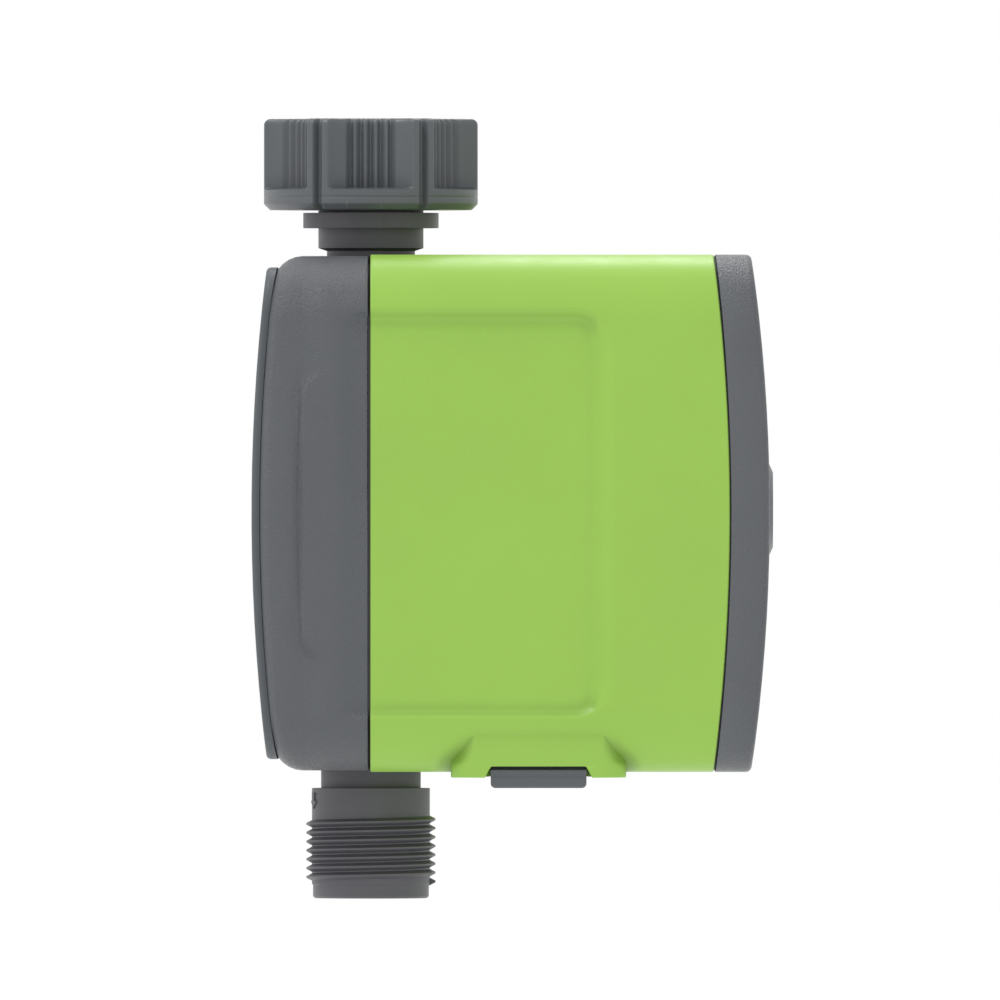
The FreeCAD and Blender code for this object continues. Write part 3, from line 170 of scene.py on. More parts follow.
def metal(name, tint, rough=0.3, brushed=(60.0, 60.0, 4000.0), strength=0.12):
    """Drawn or turned metal: fine lines along one way, patches of dulled finish."""
    n = Nodes(name)
    lines = n.noise(1.0, 4.0, 0.6, n.stretched(*brushed))
    patches = n.spread(n.noise(90.0, 4.0), 0.35, 0.7, 0.0, 1.0)
    n.link(n.mix(patches, shade(tint, 0.88), shade(tint, 1.06)), n.shader.inputs["Base Color"])
    n.link(n.spread(patches, 0.0, 1.0, rough - 0.06, rough + 0.1), n.shader.inputs["Roughness"])
    n.link(n.bump(lines, strength, 0.00002), n.shader.inputs["Normal"])
    n.shader.inputs["Metallic"].default_value = 1.0
    return n.material


def woven(name, tint):
    """Fine filter cloth: two crossed sets of threads, by wave textures."""
    n = Nodes(name)
    waves = []
    for direction in ("X", "Y"):
        wave = n.add("ShaderNodeTexWave", wave_type="BANDS", bands_direction=direction)
        wave.inputs["Scale"].default_value = 420.0
        wave.inputs["Distortion"].default_value = 0.4
        n.link(n.place, wave.inputs["Vector"])
        waves.append(wave.outputs["Fac"])
    both = n.add("ShaderNodeMath", operation="MULTIPLY")
    n.link(waves[0], both.inputs[0])
    n.link(waves[1], both.inputs[1])
    mesh = both.outputs["Value"]
    n.link(n.mix(mesh, shade(tint, 0.55), shade(tint, 1.15)), n.shader.inputs["Base Color"])
    n.link(n.spread(mesh, 0.0, 1.0, 0.6, 0.35), n.shader.inputs["Roughness"])
    n.link(n.bump(mesh, 0.5, 0.0002), n.shader.inputs["Normal"])
    return n.material


def clear_plastic(name, tint):
    n = Nodes(name)
    swirl = n.noise(260.0, 3.0)
    n.link(n.mix(swirl, shade(tint, 0.94), shade(tint, 1.02)), n.shader.inputs["Base Color"])
    n.link(n.spread(swirl, 0.3, 0.7, 0.14, 0.24), n.shader.inputs["Roughness"])
    n.link(n.bump(n.noise(900.0), 0.08, 0.00003), n.shader.inputs["Normal"])
    n.shader.inputs["Transmission Weight"].default_value = 0.7
    n.shader.inputs["IOR"].default_value = 1.49
    return n.material


def board_finish(name, tint):
    """Solder resist with faint copper tracks under it."""
    n = Nodes(name)
    brick = n.add("ShaderNodeTexBrick")
    brick.inputs["Scale"].default_value = 190.0
    brick.inputs["Mortar Size"].default_value = 0.035
    brick.inputs["Color1"].default_value = tint
    brick.inputs["Color2"].default_value = shade(tint, 0.9)
    brick.inputs["Mortar"].default_value = shade(tint, 1.7)
    n.link(n.stretched(1.0, 1.0, 0.7), brick.inputs["Vector"])
    clouds = n.spread(n.noise(60.0), 0.35, 0.65, 0.0, 0.25)
    n.link(n.mix(clouds, brick.outputs["Color"], shade(tint, 0.75)), n.shader.inputs["Base Color"])
    n.link(n.spread(n.noise(150.0), 0.3, 0.7, 0.28, 0.42), n.shader.inputs["Roughness"])
    n.link(n.bump(brick.outputs["Fac"], 0.25, 0.00004), n.shader.inputs["Normal"])
    return n.material


# On the green, grey and nut finishes the last keyword sets the strength of the painted shade in grooves and
# corners.
FINISH = {
    "green_shell": plastic("green_shell", (0.268, 0.482, 0.062, 1.0), 0.42, 3200.0, 0.000012,
                           0.22, 0.02, 0.10, crease_shade=0.62),
    "grey_shell": plastic("grey_shell", (0.082, 0.088, 0.096, 1.0), 0.36, 2400.0, 0.0003,
                          1.0, 0.025, 0.20, crease_shade=0.3),
    "panel_grey": plastic("panel_grey", (0.070, 0.079, 0.087, 1.0), 0.5, 1700.0, 0.00008,
                          0.7, 0.025, 0.18),
    "nut_grey": plastic("nut_grey", (0.084, 0.092, 0.101, 1.0), 0.40, 2600.0, 0.00006,
                        0.6, 0.05, 0.34, crease_shade=0.2),
    "spigot_grey": plastic("spigot_grey", (0.080, 0.078, 0.089, 1.0), 0.46, 2600.0, 0.00003,
                           0.35, 0.05, 0.15),
    "latch_grey": plastic("latch_grey", (0.072, 0.080, 0.086, 1.0), 0.44, 2600.0, 0.00003,
                          0.35, 0.05, 0.15),
    "black_rubber": plastic("black_rubber", (0.016, 0.016, 0.017, 1.0), 0.62, 1800.0, 0.00003,
                            0.3, 0.12, 0.0),
    "filter_mesh": woven("filter_mesh", (0.45, 0.46, 0.46, 1.0)),
    "valve_white": plastic("valve_white", (0.72, 0.72, 0.69, 1.0), 0.4, 2000.0, 0.00002,
                           0.25, 0.03, 0.0, subsurface=0.05),
    "seat_ptfe": plastic("seat_ptfe", (0.82, 0.82, 0.80, 1.0), 0.34, 1500.0, 0.00001,
                         0.2, 0.02, 0.0, subsurface=0.1),
    "ball_chrome": metal("ball_chrome", (0.74, 0.75, 0.77, 1.0), 0.14, (900.0, 900.0, 900.0), 0.04),
    "brass": metal("brass", (0.72, 0.49, 0.20, 1.0), 0.28, (4000.0, 60.0, 60.0)),
    "gear_white": plastic("gear_white", (0.66, 0.65, 0.60, 1.0), 0.38, 2200.0, 0.00001,
                          0.2, 0.04, 0.0, subsurface=0.06),
    "steel": metal("steel", (0.55, 0.55, 0.56, 1.0), 0.26),
    "zinc_screw": metal("zinc_screw", (0.62, 0.63, 0.66, 1.0), 0.32, (3500.0, 90.0, 90.0)),
    "gearbox_black": plastic("gearbox_black", (0.020, 0.021, 0.023, 1.0), 0.42, 2400.0,
                             0.00002, 0.35, 0.1, 0.0),
    "board_green": board_finish("board_green", (0.012, 0.10, 0.035, 1.0)),
    "chip_black": plastic("chip_black", (0.013, 0.013, 0.014, 1.0), 0.5, 3600.0, 0.00001,
                          0.3, 0.1, 0.0),
    "shield": metal("shield", (0.66, 0.67, 0.68, 1.0), 0.36, (60.0, 4200.0, 60.0)),
    "capacitor_sleeve": plastic("capacitor_sleeve", (0.016, 0.026, 0.085, 1.0), 0.32, 900.0,
                                0.00001, 0.15, 0.08, 0.0),
    "wire_red": plastic("wire_red", (0.42, 0.018, 0.016, 1.0), 0.4, 1500.0, 0.00001,
                        0.2, 0.06, 0.0),
    "light_clear": clear_plastic("light_clear", (0.90, 0.92, 0.92, 1.0)),
    "led_green": clear_plastic("led_green", (0.22, 0.75, 0.25, 1.0)),
    "cell_sleeve": plastic("cell_sleeve", (0.028, 0.050, 0.072, 1.0), 0.3, 1100.0, 0.00001,
                           0.15, 0.06, 0.0),
    "contact": metal("contact", (0.70, 0.70, 0.69, 1.0), 0.24, (60.0, 60.0, 3000.0)),
}

for node in nodes.values():
    for index, slot in enumerate(node.material_slots):
        kind = slot.material.name.split(".")[0] if slot.material else ""
        if kind in FINISH:
            slot.material = FINISH[kind]
        else:
            print("no finish for", node.name, kind)


# ---------------------------------------------------------------- shapes

HOUSING_MIDDLE = -69.1
HALF_WIDTH = 43.0
HALF_HEIGHT = 52.7
CORNER = 13.0
BAY_MIDDLE = 34.25
QUARTERS = ((1, 1, 0), (-1, 1, 90), (-1, -1, 180), (1, -1, 270))   # sign of X, sign of Y, first angle


def ease(low, high, value):
    """0 below low, 1 above high and a smooth rise between them."""
    t = np.clip((value - low) / (high - low), 0.0, 1.0)
    return t * t * (3.0 - 2.0 * t)


def build(name, verts, faces, finish, sharp=35.0):
    """A mesh piece from points in millimetres, with its normals facing out."""
    mesh = bpy.data.meshes.new(name)
    mesh.from_pydata((np.asarray(verts, float) * MM).tolist(), [], faces)
    bm = bmesh.new()
    bm.from_mesh(mesh)
    bmesh.ops.remove_doubles(bm, verts=bm.verts, dist=2e-7)
    bmesh.ops.dissolve_degenerate(bm, edges=bm.edges, dist=1e-7)
    bmesh.ops.recalc_face_normals(bm, faces=bm.faces)
    bm.to_mesh(mesh)
    bm.free()
    piece = bpy.data.objects.new(name, mesh)
    bpy.context.scene.collection.objects.link(piece)
    mesh.materials.append(FINISH[finish])
    soften(piece, sharp)
    return piece


def soften(piece, sharp=35.0):
    """Smooth shading broken at creases, weighted so that large flat faces stay flat."""
    mesh = piece.data
    mesh.polygons.foreach_set("use_smooth", [True] * len(mesh.polygons))
    mesh.set_sharp_from_angle(angle=math.radians(sharp))
    if "weights" not in piece.modifiers:
        weights = piece.modifiers.new("weights", "WEIGHTED_NORMAL")
        weights.keep_sharp = True


def bridge(count, rings, closed=False):
    """Quads between rings of count points each."""
    faces = []
    last = rings if closed else rings - 1
    for r in range(last):
        a, b = r * count, ((r + 1) % rings) * count
        for i in range(count):
            j = (i + 1) % count
            faces.append((a + i, a + j, b + j, b + i))
    return faces


def stack(name, rings, finish, closed=False, sharp=35.0, flat_ends=False):
    """A closed solid from a stack of rings.

    Each end is a fan, or one flat face for an outline that a fan would leave. A closed stack is a
    ring itself and has no ends.
    """
    rings = [np.asarray(r, float) for r in rings]
    count = len(rings[0])
    verts = np.concatenate(rings)
    faces = bridge(count, len(rings), closed)
    if flat_ends:
        base = (len(rings) - 1) * count
        faces.append(tuple(reversed(range(count))))
        faces.append(tuple(range(base, base + count)))
    elif not closed:
        first, last = len(verts), len(verts) + 1
        verts = np.concatenate([verts, [rings[0].mean(0)], [rings[-1].mean(0)]])
        base = (len(rings) - 1) * count
        for i in range(count):
            j = (i + 1) % count
            faces.append((first, j, i))
            faces.append((last, base + i, base + j))
    return build(name, verts, faces, finish, sharp)


def combine(piece, other, how):
    """Exact boolean of two closed pieces, applied. The other piece is used up."""
    for thing in (piece, other):
        thing.modifiers.clear()
    step = piece.modifiers.new("step", "BOOLEAN")
    step.operation = how
    step.solver = "EXACT"
    step.object = other
    graph = bpy.context.evaluated_depsgraph_get()
    made = bpy.data.meshes.new_from_object(piece.evaluated_get(graph))
    piece.modifiers.remove(step)
    old = piece.data
    piece.data = made
    made.name = piece.name
    bpy.data.meshes.remove(old)
    bpy.data.objects.remove(other)


# Where an outline has its points, closer together where the recess's edge needs them.
CORNER_SPOTS = np.concatenate([np.linspace(0, 0.82, 18, endpoint=False),
                               np.linspace(0.82, 1, 9, endpoint=False)])
SIDE_SPOTS = np.concatenate([np.linspace(0, 0.12, 10, endpoint=False),
                             np.linspace(0.12, 0.45, 12, endpoint=False),
                             np.linspace(0.45, 1, 13)])
TOP_SPOTS = np.linspace(0, 1, 14, endpoint=False)


def outline(half_y, half_z, corner):
    """Points and outward normals round a rounded rectangle in the YZ plane."""
    quarter = [(f * (half_y - corner), half_z, 0.0, 1.0) for f in TOP_SPOTS]
    for f in CORNER_SPOTS:
        s, c = math.sin(f * math.pi / 2), math.cos(f * math.pi / 2)
        quarter.append((half_y - corner + corner * s, half_z - corner + corner * c, s, c))
    quarter += [(half_y, (1 - f) * (half_z - corner), 1.0, 0.0) for f in SIDE_SPOTS]
    quarter = np.array(quarter)
    down, back = quarter * (1, -1, 1, -1), quarter * (-1, 1, -1, 1)
    across = quarter * (-1, -1, -1, -1)
    return np.concatenate([quarter[:-1], down[:0:-1], across[:-1], back[:0:-1]])


def bow(reach, half_z):
    return lambda z: reach * (1.0 - (z / half_z) ** 2)


def skin(loop, place, inset, scale, lean):
    """One ring of a shell: lean(place, z) gives its X."""
    y = (loop[:, 0] - loop[:, 2] * inset) * scale
    z = (loop[:, 1] - loop[:, 3] * inset) * scale
    return np.stack([lean(place, z), y, z + HOUSING_MIDDLE], 1)


def rounding(end, radius, way, steps=7):
    """(place, inset) down a rounded edge that ends at `end`, which faces way, +1 or -1."""
    angles = np.linspace(0, math.pi / 2, steps)
    return [(end - way * radius * (1 - math.sin(a)), radius * (1 - math.cos(a))) for a in angles]


def shell(name, finish, loop, low, high, low_round, high_round, rows, lean, cap_steps=9):
    """A bowed, rounded slab: a cap, a rounded edge, its side, and the same at the other end."""
    edge_low = rounding(low, low_round, -1)[::-1]
    edge_high = rounding(high, high_round, 1)
    scales = np.linspace(0.02, 1.0, cap_steps, endpoint=False)
    rings = [skin(loop, low, low_round, s, lean) for s in scales]
    rings += [skin(loop, p, i, 1.0, lean) for p, i in edge_low]
    rings += [skin(loop, p, 0.0, 1.0, lean) for p in rows]
    rings += [skin(loop, p, i, 1.0, lean) for p, i in edge_high]
    rings += [skin(loop, high, high_round, s, lean) for s in scales[::-1]]
    return stack(name, rings, finish)


def block(low, high, corner=0.4, steps=8):
    """A block whose plan (XY) has round corners."""
    (x0, y0, z0), (x1, y1, z1) = low, high
    cx, cy, hx, hy = (x0 + x1) / 2, (y0 + y1) / 2, (x1 - x0) / 2, (y1 - y0) / 2
    plan = []
    for sx, sy, start in QUARTERS:
        for a in np.radians(np.linspace(start, start + 90, steps)):
            plan.append((cx + sx * (hx - corner) + math.cos(a) * corner,
                         cy + sy * (hy - corner) + math.sin(a) * corner))
    plan = np.array(plan)
    rings = [np.column_stack([plan, np.full(len(plan), z)]) for z in (z0, z1)]
    return stack("block", rings, "green_shell")


PRESS_FROM, PRESS_OVER = 30.0, 11.0       # |Y| where the press starts, and how far it takes to be full


def press_sides(piece, amount):
    """Moves side walls in towards the middle by amount(x, z) millimetres."""
    mesh = piece.data
    co = np.empty(len(mesh.vertices) * 3)
    mesh.vertices.foreach_get("co", co)
    co = co.reshape(-1, 3) / MM
    wall = np.abs(co[:, 1]) > HALF_WIDTH - CORNER
    reach = np.clip((np.abs(co[:, 1]) - PRESS_FROM) / PRESS_OVER, 0.0, 1.0)
    push = amount(co[:, 0], co[:, 2] - HOUSING_MIDDLE) * wall * reach
    co[:, 1] -= np.sign(co[:, 1]) * push
    mesh.vertices.foreach_set("co", (co * MM).ravel())
    mesh.update()


RECESS_HALF = 41.9
RECESS_FRONT = 50.1
RECESS_CORNER = 9.0
RECESS_DEPTH = 1.4
RECESS_WALL, UPPER_MORE, FRONT_WALL = 1.95, 0.75, 5.15    # widths of the sloping wall round it
UPPER_DEEPER = 0.2


def round_distance(qx, qz):
    """Distance from a rounded rectangle's inner core, given the overhang past the core each way."""
    return np.minimum(np.maximum(qx, qz), 0.0) + np.hypot(np.maximum(qx, 0), np.maximum(qz, 0))


def recess(x, z):
    """Depth of the shallow grip panel at a point of the side."""
    qx = x - (RECESS_FRONT - RECESS_CORNER)
    qz = np.abs(z) - (RECESS_HALF - RECESS_CORNER)
    distance = RECESS_CORNER - round_distance(qx, qz)
    upper = ease(-5.0, 5.0, z)
    width = RECESS_WALL + UPPER_MORE * upper
    width = width + (FRONT_WALL - width) * ease(-3.0, 3.0, qx - qz)
    return (RECESS_DEPTH + UPPER_DEEPER * upper) * ease(0.0, 1.0, distance / width)


# ---- middle of the housing

MID_FRONT = 69.9
MID_BOW_FROM = 53.0
MID_BOW = bow(3.3, HALF_HEIGHT)
main_loop = outline(HALF_WIDTH, HALF_HEIGHT, CORNER)
mid_rows = np.concatenate([np.linspace(1.0, 40.0, 20), np.linspace(40.6, 52.0, 20),
                           np.linspace(54.0, 68.5, 8)])


def mid_lean(place, z):
    return place + MID_BOW(z) * np.clip((place - MID_BOW_FROM) / (MID_FRONT - MID_BOW_FROM), 0.0, 1.0)


mid = shell("mid_housing_skin", "green_shell", main_loop, 0.0, MID_FRONT, 0.25, 0.35, mid_rows, mid_lean)
press_sides(mid, recess)


# Half sizes are along X and reaches along Y, both from the bay's middle; the rest are Z levels.
BAY_HALF, BAY_REACH, BAY_WALL, BAY_CEILING = 14.95, 30.6, 1.6, -86.5
DOOR_HALF, DOOR_REACH, DOOR_CEILING = 16.65, 39.4, -120.5
SEAL_HALF, SEAL_REACH, SEAL_CEILING, SEAL_CORNER = 16.55, 37.4, -119.2, 2.5
POCKET_HALF, POCKET_CEILING = 14.0, -106.0
BELOW_MOUTH, BELOW_DOOR_CEILING = -124.5, -121.0
COLLAR_HALF, COLLAR_REACH = 17.85, 41.55
COLLAR_FOOT, COLLAR_EDGE = -122.9, 0.3
BAR_TURN = math.radians(1.3)              # keeps the bar's points off the shells' own points
INLET_HOLE = (9.3, -22.4, -10.4)          # radius, low, high
OUTLET_HOLE = (10.5, -127.8, -115.8)
SHELL_WALL = 2.4


def round_bar(radius, low, high):
    """An upright round bar on the water path's axis."""
    angles = np.linspace(0, 2 * math.pi, 96, endpoint=False) + BAR_TURN
    ring = np.stack([radius * np.cos(angles), radius * np.sin(angles), 0 * angles], 1)
    return stack("bar", [ring + (0, 0, low), ring + (0, 0, high)], "green_shell")


def notch(side):
    """The gap over one latch's tab: sloping sides, round top corners, right through the collar."""
    profile = [(-11.05, -124.0), (-10.92, -122.9), (-10.05, -121.2)]
    for a in np.linspace(0, math.pi / 2, 6):
        profile.append((-9.35 - 0.6 * math.cos(a), -121.2 + 0.6 * math.sin(a)))
    profile += [(-x, z) for x, z in reversed(profile)]
    rings = []
    for y in (38.0, 44.5):
        rings.append([(BAY_MIDDLE + x, side * y, z) for x, z in profile])
    return stack("notch", rings, "green_shell")


def collar_plan(half_y, reach_x, reach_y, power):
    """Points round the collar's section; its corners are superellipses of the given power."""
    plan = []
    for sx, sy, start in QUARTERS:
        for a in np.radians(np.linspace(start, start + 90, 16)):
            round_x = sx * reach_x * abs(math.cos(a)) ** (2 / power)
            round_y = sy * reach_y * abs(math.sin(a)) ** (2 / power)
            plan.append((sx * (COLLAR_HALF - reach_x) + round_x, sy * (half_y - reach_y) + round_y))
    return np.array(plan)


def collar():
    """The raised collar round the bay's mouth. Its corners draw out along Y where it runs up the side."""
    mouth_plan = collar_plan(COLLAR_REACH, 5.1, 5.1, 2.0)
    side_plan = collar_plan(41.8, 4.7, 6.75, 1.33)
    rings = []
    for a in np.linspace(0, math.pi / 2, 4):
        inset = COLLAR_EDGE * (1 - math.sin(a))
        ring = mouth_plan * (1 - inset / np.array((COLLAR_HALF, COLLAR_REACH))) + (BAY_MIDDLE, 0.0)
        level = COLLAR_FOOT + COLLAR_EDGE * (1 - math.cos(a))
        rings.append(np.column_stack([ring, np.full(len(ring), level)]))
    for z, share, narrow in ((-121.6, 0.0, 1.0), (-120.4, 0.0, 1.0), (-119.8, 0.25, 1.0), (-119.0, 0.6, 1.0),
                             (-118.0, 0.88, 1.0), (-117.0, 1.0, 1.0), (-113.2, 1.0, 1.0), (-112.4, 1.0, 0.985),
                             (-104.7, 1.0, 0.985)):
        ring = (mouth_plan + (side_plan - mouth_plan) * share) * (1.0, narrow) + (BAY_MIDDLE, 0.0)
        rings.append(np.column_stack([ring, np.full(len(ring), z)]))
    return stack("collar", rings, "green_shell")


def outer_room():
    """The hollow inside the middle shell, open at both ends."""
    loop = outline(HALF_WIDTH - SHELL_WALL, HALF_HEIGHT - SHELL_WALL, CORNER - SHELL_WALL)
    return shell("room", "green_shell", loop, -2.0, 76.0, 0.2, 0.2, [10.0, 40.0, 66.0],
                 lambda place, z: place + 0.0 * z, 3)


combine(mid, outer_room(), "DIFFERENCE")
combine(mid, collar(), "UNION")
combine(mid, block((BAY_MIDDLE - BAY_HALF - BAY_WALL, -BAY_REACH - BAY_WALL, SEAL_CEILING),
                   (BAY_MIDDLE + BAY_HALF + BAY_WALL, BAY_REACH + BAY_WALL, BAY_CEILING + BAY_WALL)), "UNION")
for half, reach, low, high, corner in ((DOOR_HALF, DOOR_REACH, BELOW_MOUTH, DOOR_CEILING, 0.4),
                                       (SEAL_HALF, SEAL_REACH, BELOW_DOOR_CEILING, SEAL_CEILING, SEAL_CORNER),
                                       (BAY_HALF, BAY_REACH, DOOR_CEILING, BAY_CEILING, 0.4)):
    cutter = block((BAY_MIDDLE - half, -reach, low), (BAY_MIDDLE + half, reach, high), corner)
    combine(mid, cutter, "DIFFERENCE")
for side in (-1, 1):
    near, far = sorted((side * (BAY_REACH + BAY_WALL), side * DOOR_REACH))
    combine(mid, block((BAY_MIDDLE - POCKET_HALF, near, BELOW_DOOR_CEILING),
                       (BAY_MIDDLE + POCKET_HALF, far, POCKET_CEILING)), "DIFFERENCE")
    combine(mid, notch(side), "DIFFERENCE")
for hole in (INLET_HOLE, OUTLET_HOLE):
    combine(mid, round_bar(*hole), "DIFFERENCE")
soften(mid, 32.0)
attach(mid, "housing")
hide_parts("mid_housing")


# ---- rear shell: sides that lean in to the back, round a full-width pad

REAR_BACK = -19.2
REAR_BOW = bow(3.4, HALF_HEIGHT)
REAR_BOW_FROM = -5.0
REAR_TAPER = 1.35
PAD_REACH, PAD_HALF, PAD_CORNER = 14.3, 28.9, 5.0


def rear_lean(place, z):
    return place - REAR_BOW(z) * np.clip((REAR_BOW_FROM - place) / (REAR_BOW_FROM - REAR_BACK), 0.0, 1.0)


def rear_press(x, z):
    """How far the rear shell's sides lean in: a taper to the back, a pad left proud, and the recess."""
    back = REAR_BACK - REAR_BOW(z)
    taper = REAR_TAPER * ease(8.5, 14.5, -x) * ease(0.0, 5.0, x - back)
    qx, qz = -x - (PAD_REACH - PAD_CORNER), np.abs(z + 0.5) - (PAD_HALF - PAD_CORNER)
    pad = ease(-0.65, 0.65, PAD_CORNER - round_distance(qx, qz))
    return taper * (1.0 - pad) + recess(x, z) * ease(-8.0, -0.5, x)


rear_loop = outline(HALF_WIDTH - 0.3, HALF_HEIGHT - 0.3, CORNER)
rear = shell("rear_shell_skin", "grey_shell", rear_loop, REAR_BACK, -0.45, 5.4, 0.25,
             np.linspace(-13.5, -1.0, 26), rear_lean)
press_sides(rear, rear_press)
rear_room = shell("room", "grey_shell", outline(HALF_WIDTH - 4.6, HALF_HEIGHT - 2.7, CORNER - SHELL_WALL),
                  REAR_BACK + SHELL_WALL, 3.0, 2.5, 0.2, [-8.0, -3.0], rear_lean)
combine(rear, rear_room, "DIFFERENCE")
for hole in (INLET_HOLE, OUTLET_HOLE):
    combine(rear, round_bar(*hole), "DIFFERENCE")
soften(rear, 32.0)
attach(rear, "housing")
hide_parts("rear_shell")


# ---- hose nut

NUT_RADIUS = 21.9
NUT_TOP = 11.5
THREAD_MINOR = 12.06
PITCH = 1.814
LOBE = math.pi / 3                        # six scoops and six slots
SCOOP_CENTRE, SCOOP_RADIUS_SQUARED, SCOOP_SWING = 31.0, 196.0, 13.5
GROOVE_PITCH, GROOVE_DEPTH, SLOT_DEPTH = 2.13, 0.85, 1.45
FLANGE_TOP, LINE_LEVEL = -3.02, -4.5
THREAD_DEPTH, LEAD_IN = 0.8, 9.9
NUT_EDGE, NUT_SHOULDER = 1.3, 9.3
TURN = np.linspace(0, 2 * math.pi, 840, endpoint=False)


def nut_radius(z):
    """The nut's outer radius all round at height z: scoops with grooves, slots and a fine line."""
    lobe = (TURN + math.pi / 2 + math.pi / 6) % LOBE - math.pi / 6
    swing = SCOOP_CENTRE * np.sin(lobe)
    scoop = SCOOP_CENTRE * np.cos(lobe) - np.sqrt(np.maximum(SCOOP_RADIUS_SQUARED - swing ** 2, 0.0))
    scoop = np.where(np.abs(swing) < SCOOP_SWING, scoop, 40.0)
    offset = scoop * np.sin(lobe)
    groove = 0.5 + 0.5 * np.cos(2 * math.pi * offset / GROOVE_PITCH)
    scoop = scoop - GROOVE_DEPTH * groove ** 1.3 * (np.abs(offset) < 2.5 * GROOVE_PITCH)
    gap = np.clip((NUT_RADIUS - scoop) / 0.5, -1.0, 1.0)
    blended = np.where(gap > 0, scoop, NUT_RADIUS) - 0.10 * (1 - np.abs(gap)) ** 2
    depth = min(1.0, max(0.0, (z - FLANGE_TOP) / 0.5))
    radius = NUT_RADIUS + (np.minimum(blended, NUT_RADIUS) - NUT_RADIUS) * depth
    slot_turn = (TURN + math.pi / 6 + math.pi / 2 + math.pi / 6) % LOBE - math.pi / 6
    across = np.abs(NUT_RADIUS * np.sin(slot_turn))
    radius = radius - SLOT_DEPTH * (1.0 - ease(0.2, 1.2, across))
    line = max(0.0, 1.0 - abs(z - LINE_LEVEL) / 0.16)
    return radius - 0.10 * line


def turned(radius, z):
    return np.stack([radius * np.cos(TURN), radius * np.sin(TURN), 0 * TURN + z], 1)


def female_thread(z):
    """Inner radius all round at height z, following a right-hand helix."""
    phase = (z / PITCH - TURN / (2 * math.pi)) % 1.0
    groove = 1.0 - np.clip((np.abs(phase - 0.5) - 0.10) / 0.22, 0.0, 1.0)
    if z > LEAD_IN:
        return THREAD_MINOR + THREAD_DEPTH * groove * float(ease(11.2, LEAD_IN, z))
    return THREAD_MINOR + THREAD_DEPTH * groove


nut_rings = []
for z, inset in ((-7.1, 1.3), (-7.06, 1.2), (-6.9, 1.02), (-6.02, 0.14), (-5.9, 0.04), (-5.7, 0.0)):
    nut_rings.append(turned(nut_radius(z) - inset, z))
for z in (-5.0, -4.68, -4.5, -4.32, -3.8, -3.3, -3.1, -3.02, -2.9, -2.75, -2.6, -2.52, -2.4, -2.2,
          -1.5, 0.0, 2.5, 5.0, 7.5, 9.3):
    nut_rings.append(turned(nut_radius(z), z))
for a in np.linspace(0, math.pi / 2, 7):
    nut_rings.append(turned(nut_radius(NUT_SHOULDER) - NUT_EDGE * (1 - math.cos(a)),
                           NUT_TOP - NUT_EDGE * (1 - math.sin(a))))
for f in (0.35, 0.75, 1.0):
    nut_rings.append(turned((nut_radius(NUT_SHOULDER) - NUT_EDGE) * (1 - f) + (THREAD_MINOR + 0.65) * f,
                            NUT_TOP))
nut_rings.append(turned(THREAD_MINOR + 0.15 + 0 * TURN, NUT_TOP - 0.5))
for z in np.arange(10.9, -0.15, -0.19):
    nut_rings.append(turned(female_thread(float(z)), float(z)))
for radius, z in ((THREAD_MINOR + 0.35, -0.45), (THREAD_MINOR + 0.35, -5.2), (11.1, -5.2), (11.1, -7.1)):
    nut_rings.append(turned(radius + 0 * TURN, z))
nut = stack("inlet_nut_skin", nut_rings, "nut_grey", closed=True, sharp=40.0)
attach(nut, "nut")
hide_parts("inlet_nut")


# ---- latches

PIN_REACH, PIN_LEVEL, BARREL = 36.4, -109.0, 1.6
TAB_FLAT, TAB_ROUND = 8.85, 0.9           # half width before the tab's lower corners, and their radius


def latch_profile():
    """Tab, arm and pin barrel, from the tab's inner lower corner round; (Y, Z)."""
    points = [(34.6, -124.6), (35.0, -125.0), (41.45, -125.0), (41.9, -124.55), (41.9, -122.95),
              (41.68, -122.75), (41.68, -121.6), (41.38, -121.3), (38.0, -121.3), (38.0, -118.6),
              (39.0, -118.2), (39.0, -117.2), (38.0, -115.4), (37.7, -109.95)]
    for a in np.radians(np.linspace(-36, 216, 15)):
        points.append((PIN_REACH + BARREL * math.cos(a), PIN_LEVEL + BARREL * math.sin(a)))
    points += [(35.3, -110.3), (36.2, -115.4), (36.2, -121.3), (34.9, -121.3), (34.6, -121.6)]
    return points


def latch(name, side, node, body):
    """One latch, as slices of its profile from one end to the other."""
    rings = []
    for across, inset in ((9.45, 0.3), (9.66, 0.2), (9.75, 0.0), (9.7, 0.0), (9.55, 0.0), (9.2, 0.0),
                          (TAB_FLAT, 0.0)):
        rings.append((-across, inset))
    rings += [(x, 0.0) for x in (-6.0, -2.0, 2.0, 6.0)] + [(-x, i) for x, i in reversed(rings)]
    made = []
    outline_points = latch_profile()
    for x, inset in rings:
        edge = max(0.0, abs(x) - TAB_FLAT)
        lift = TAB_ROUND - math.sqrt(max(0.0, 0.81 - min(edge, TAB_ROUND) ** 2))
        ring = []
        for y, z in outline_points:
            middle = 37.9 if z < -121.0 else 37.1
            y = y + (-inset if y > middle else inset) * 0.8
            low = min(1.0, max(0.0, (-122.2 - z) / 2.6))
            ring.append((BAY_MIDDLE + x, side * y, z + lift * low + (inset if z < -124.0 else 0.0)))
        made.append(ring)
    piece = stack(name, made, "latch_grey", sharp=28.0, flat_ends=True)
    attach(piece, body)
    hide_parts(node)


latch("latch_right_skin", -1, "latch_right", "right_latch")
latch("latch_left_skin", 1, "latch_left", "left_latch")


# ---- flow arrow on the outlet's collar: a plain raised arrow that points down. Its fanned ends leave two
# thin slivers outside the concave outline.

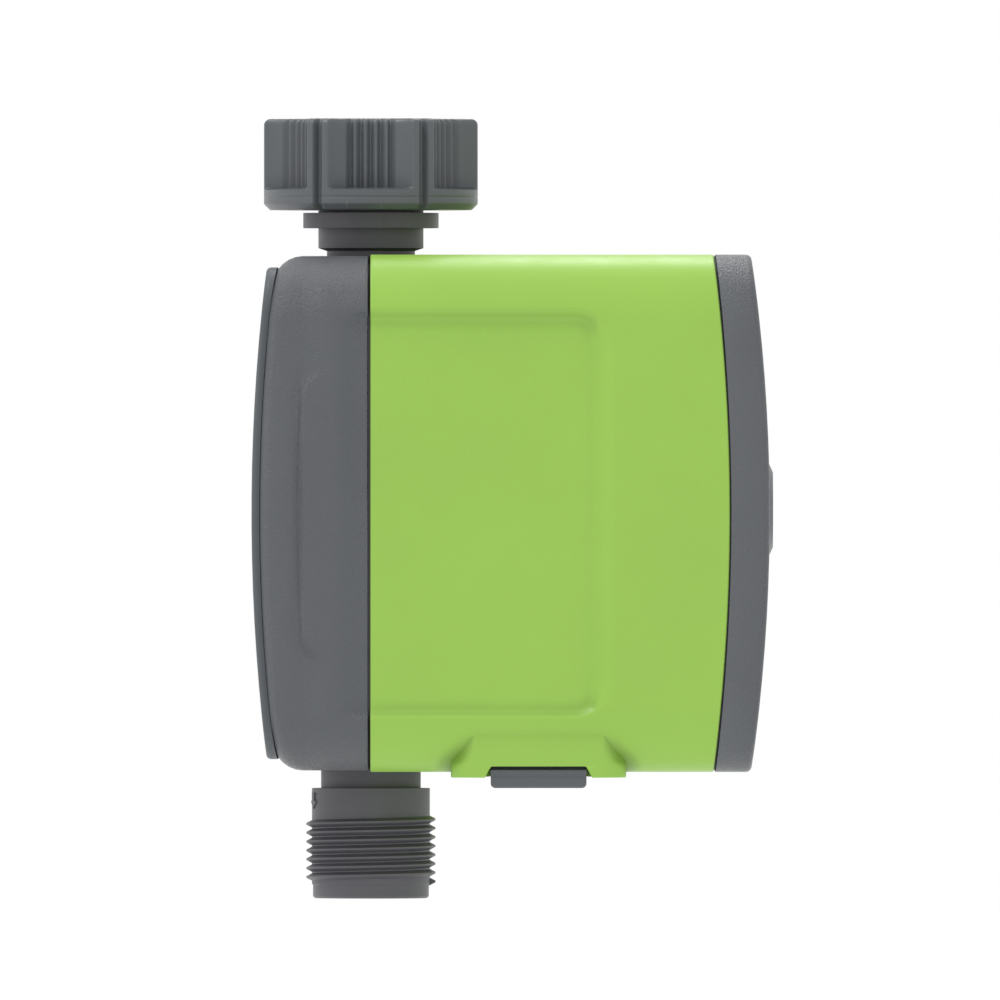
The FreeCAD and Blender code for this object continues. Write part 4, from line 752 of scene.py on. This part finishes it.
ARROW_TURN = math.radians(196.0)
ARROW_LEVEL = -127.85
ARROW_RADIUS = 12.06
arrow_outline = [(-0.75, 1.65), (0.75, 1.65), (0.75, -0.1), (1.8, -0.1), (0.0, -1.65), (-1.8, -0.1),
                 (-0.75, -0.1)]
arrow_rings = []
for radius, shrink in ((11.8, 1.0), (12.3, 1.0), (12.38, 0.93)):
    ring = []
    for across, up in arrow_outline:
        turn = ARROW_TURN + across * shrink / ARROW_RADIUS
        ring.append((radius * math.cos(turn), radius * math.sin(turn), ARROW_LEVEL + up * shrink))
    arrow_rings.append(ring)
arrow = stack("flow_arrow", arrow_rings, "spigot_grey", sharp=30.0)
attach(arrow, "housing")


# ---------------------------------------------------------------- stage

def look_at(thing, target):
    thing.rotation_mode = "QUATERNION"
    thing.rotation_quaternion = (Vector(target) - thing.location).to_track_quat("-Z", "Y")


def area_light(name, place, target, size, power):
    data = bpy.data.lights.new(name, "AREA")
    data.shape = "DISK"
    data.size = size
    data.energy = power
    light = bpy.data.objects.new(name, data)
    light.location = place
    bpy.context.scene.collection.objects.link(light)
    look_at(light, target)


FRAME_WIDTH = 204.5 * MM
LENS = 1400.0
camera_data = bpy.data.cameras.new("camera")
camera_data.lens = LENS
camera_data.clip_end = 20.0
camera = bpy.data.objects.new("camera", camera_data)
middle = Vector((26.4 * MM, 0.0, -66.4 * MM))
camera.location = middle + Vector((0.0, -FRAME_WIDTH * LENS / camera_data.sensor_width, 0.0))
bpy.context.scene.collection.objects.link(camera)
look_at(camera, middle)
bpy.context.scene.camera = camera

world = bpy.data.worlds.new("studio")
world.use_nodes = True
background = world.node_tree.nodes["Background"]
background.inputs["Color"].default_value = (1.0, 1.0, 1.0, 1.0)
background.inputs["Strength"].default_value = 1.0
bpy.context.scene.world = world
area_light("overhead", (0.05, 0.36, 0.52), (0.03, 0.0, -0.03), 0.30, 1.15)
area_light("key", (-0.42, -0.18, 0.72), (0.0, 0.0, -0.04), 0.20, 2.6)

FLOOR_LEVEL = cad_box[0][2] - 20.0 * MM   # clear of the battery tray when it is out
FLOOR_HALF = 1.6
floor_corners = [(x * FLOOR_HALF, y * FLOOR_HALF, FLOOR_LEVEL) for x, y in ((-1, -1), (1, -1), (1, 1), (-1, 1))]
floor_mesh = bpy.data.meshes.new("floor")
floor_mesh.from_pydata(floor_corners, [], [(0, 1, 2, 3)])
floor = bpy.data.objects.new("floor", floor_mesh)
bpy.context.scene.collection.objects.link(floor)
paper = Nodes("paper")
paper_tint = paper.mix(paper.noise(6.0), (0.24, 0.24, 0.24, 1.0), (0.26, 0.26, 0.26, 1.0))
paper.link(paper_tint, paper.shader.inputs["Base Color"])
paper.shader.inputs["Roughness"].default_value = 0.9
paper.shader.inputs["Specular IOR Level"].default_value = 0.1
paper.shader.inputs["Emission Color"].default_value = (1.0, 1.0, 1.0, 1.0)
paper.shader.inputs["Emission Strength"].default_value = 0.85
floor_mesh.materials.append(paper.material)

bpy.context.scene.view_settings.view_transform = "Standard"
bpy.context.scene.view_settings.look = "None"
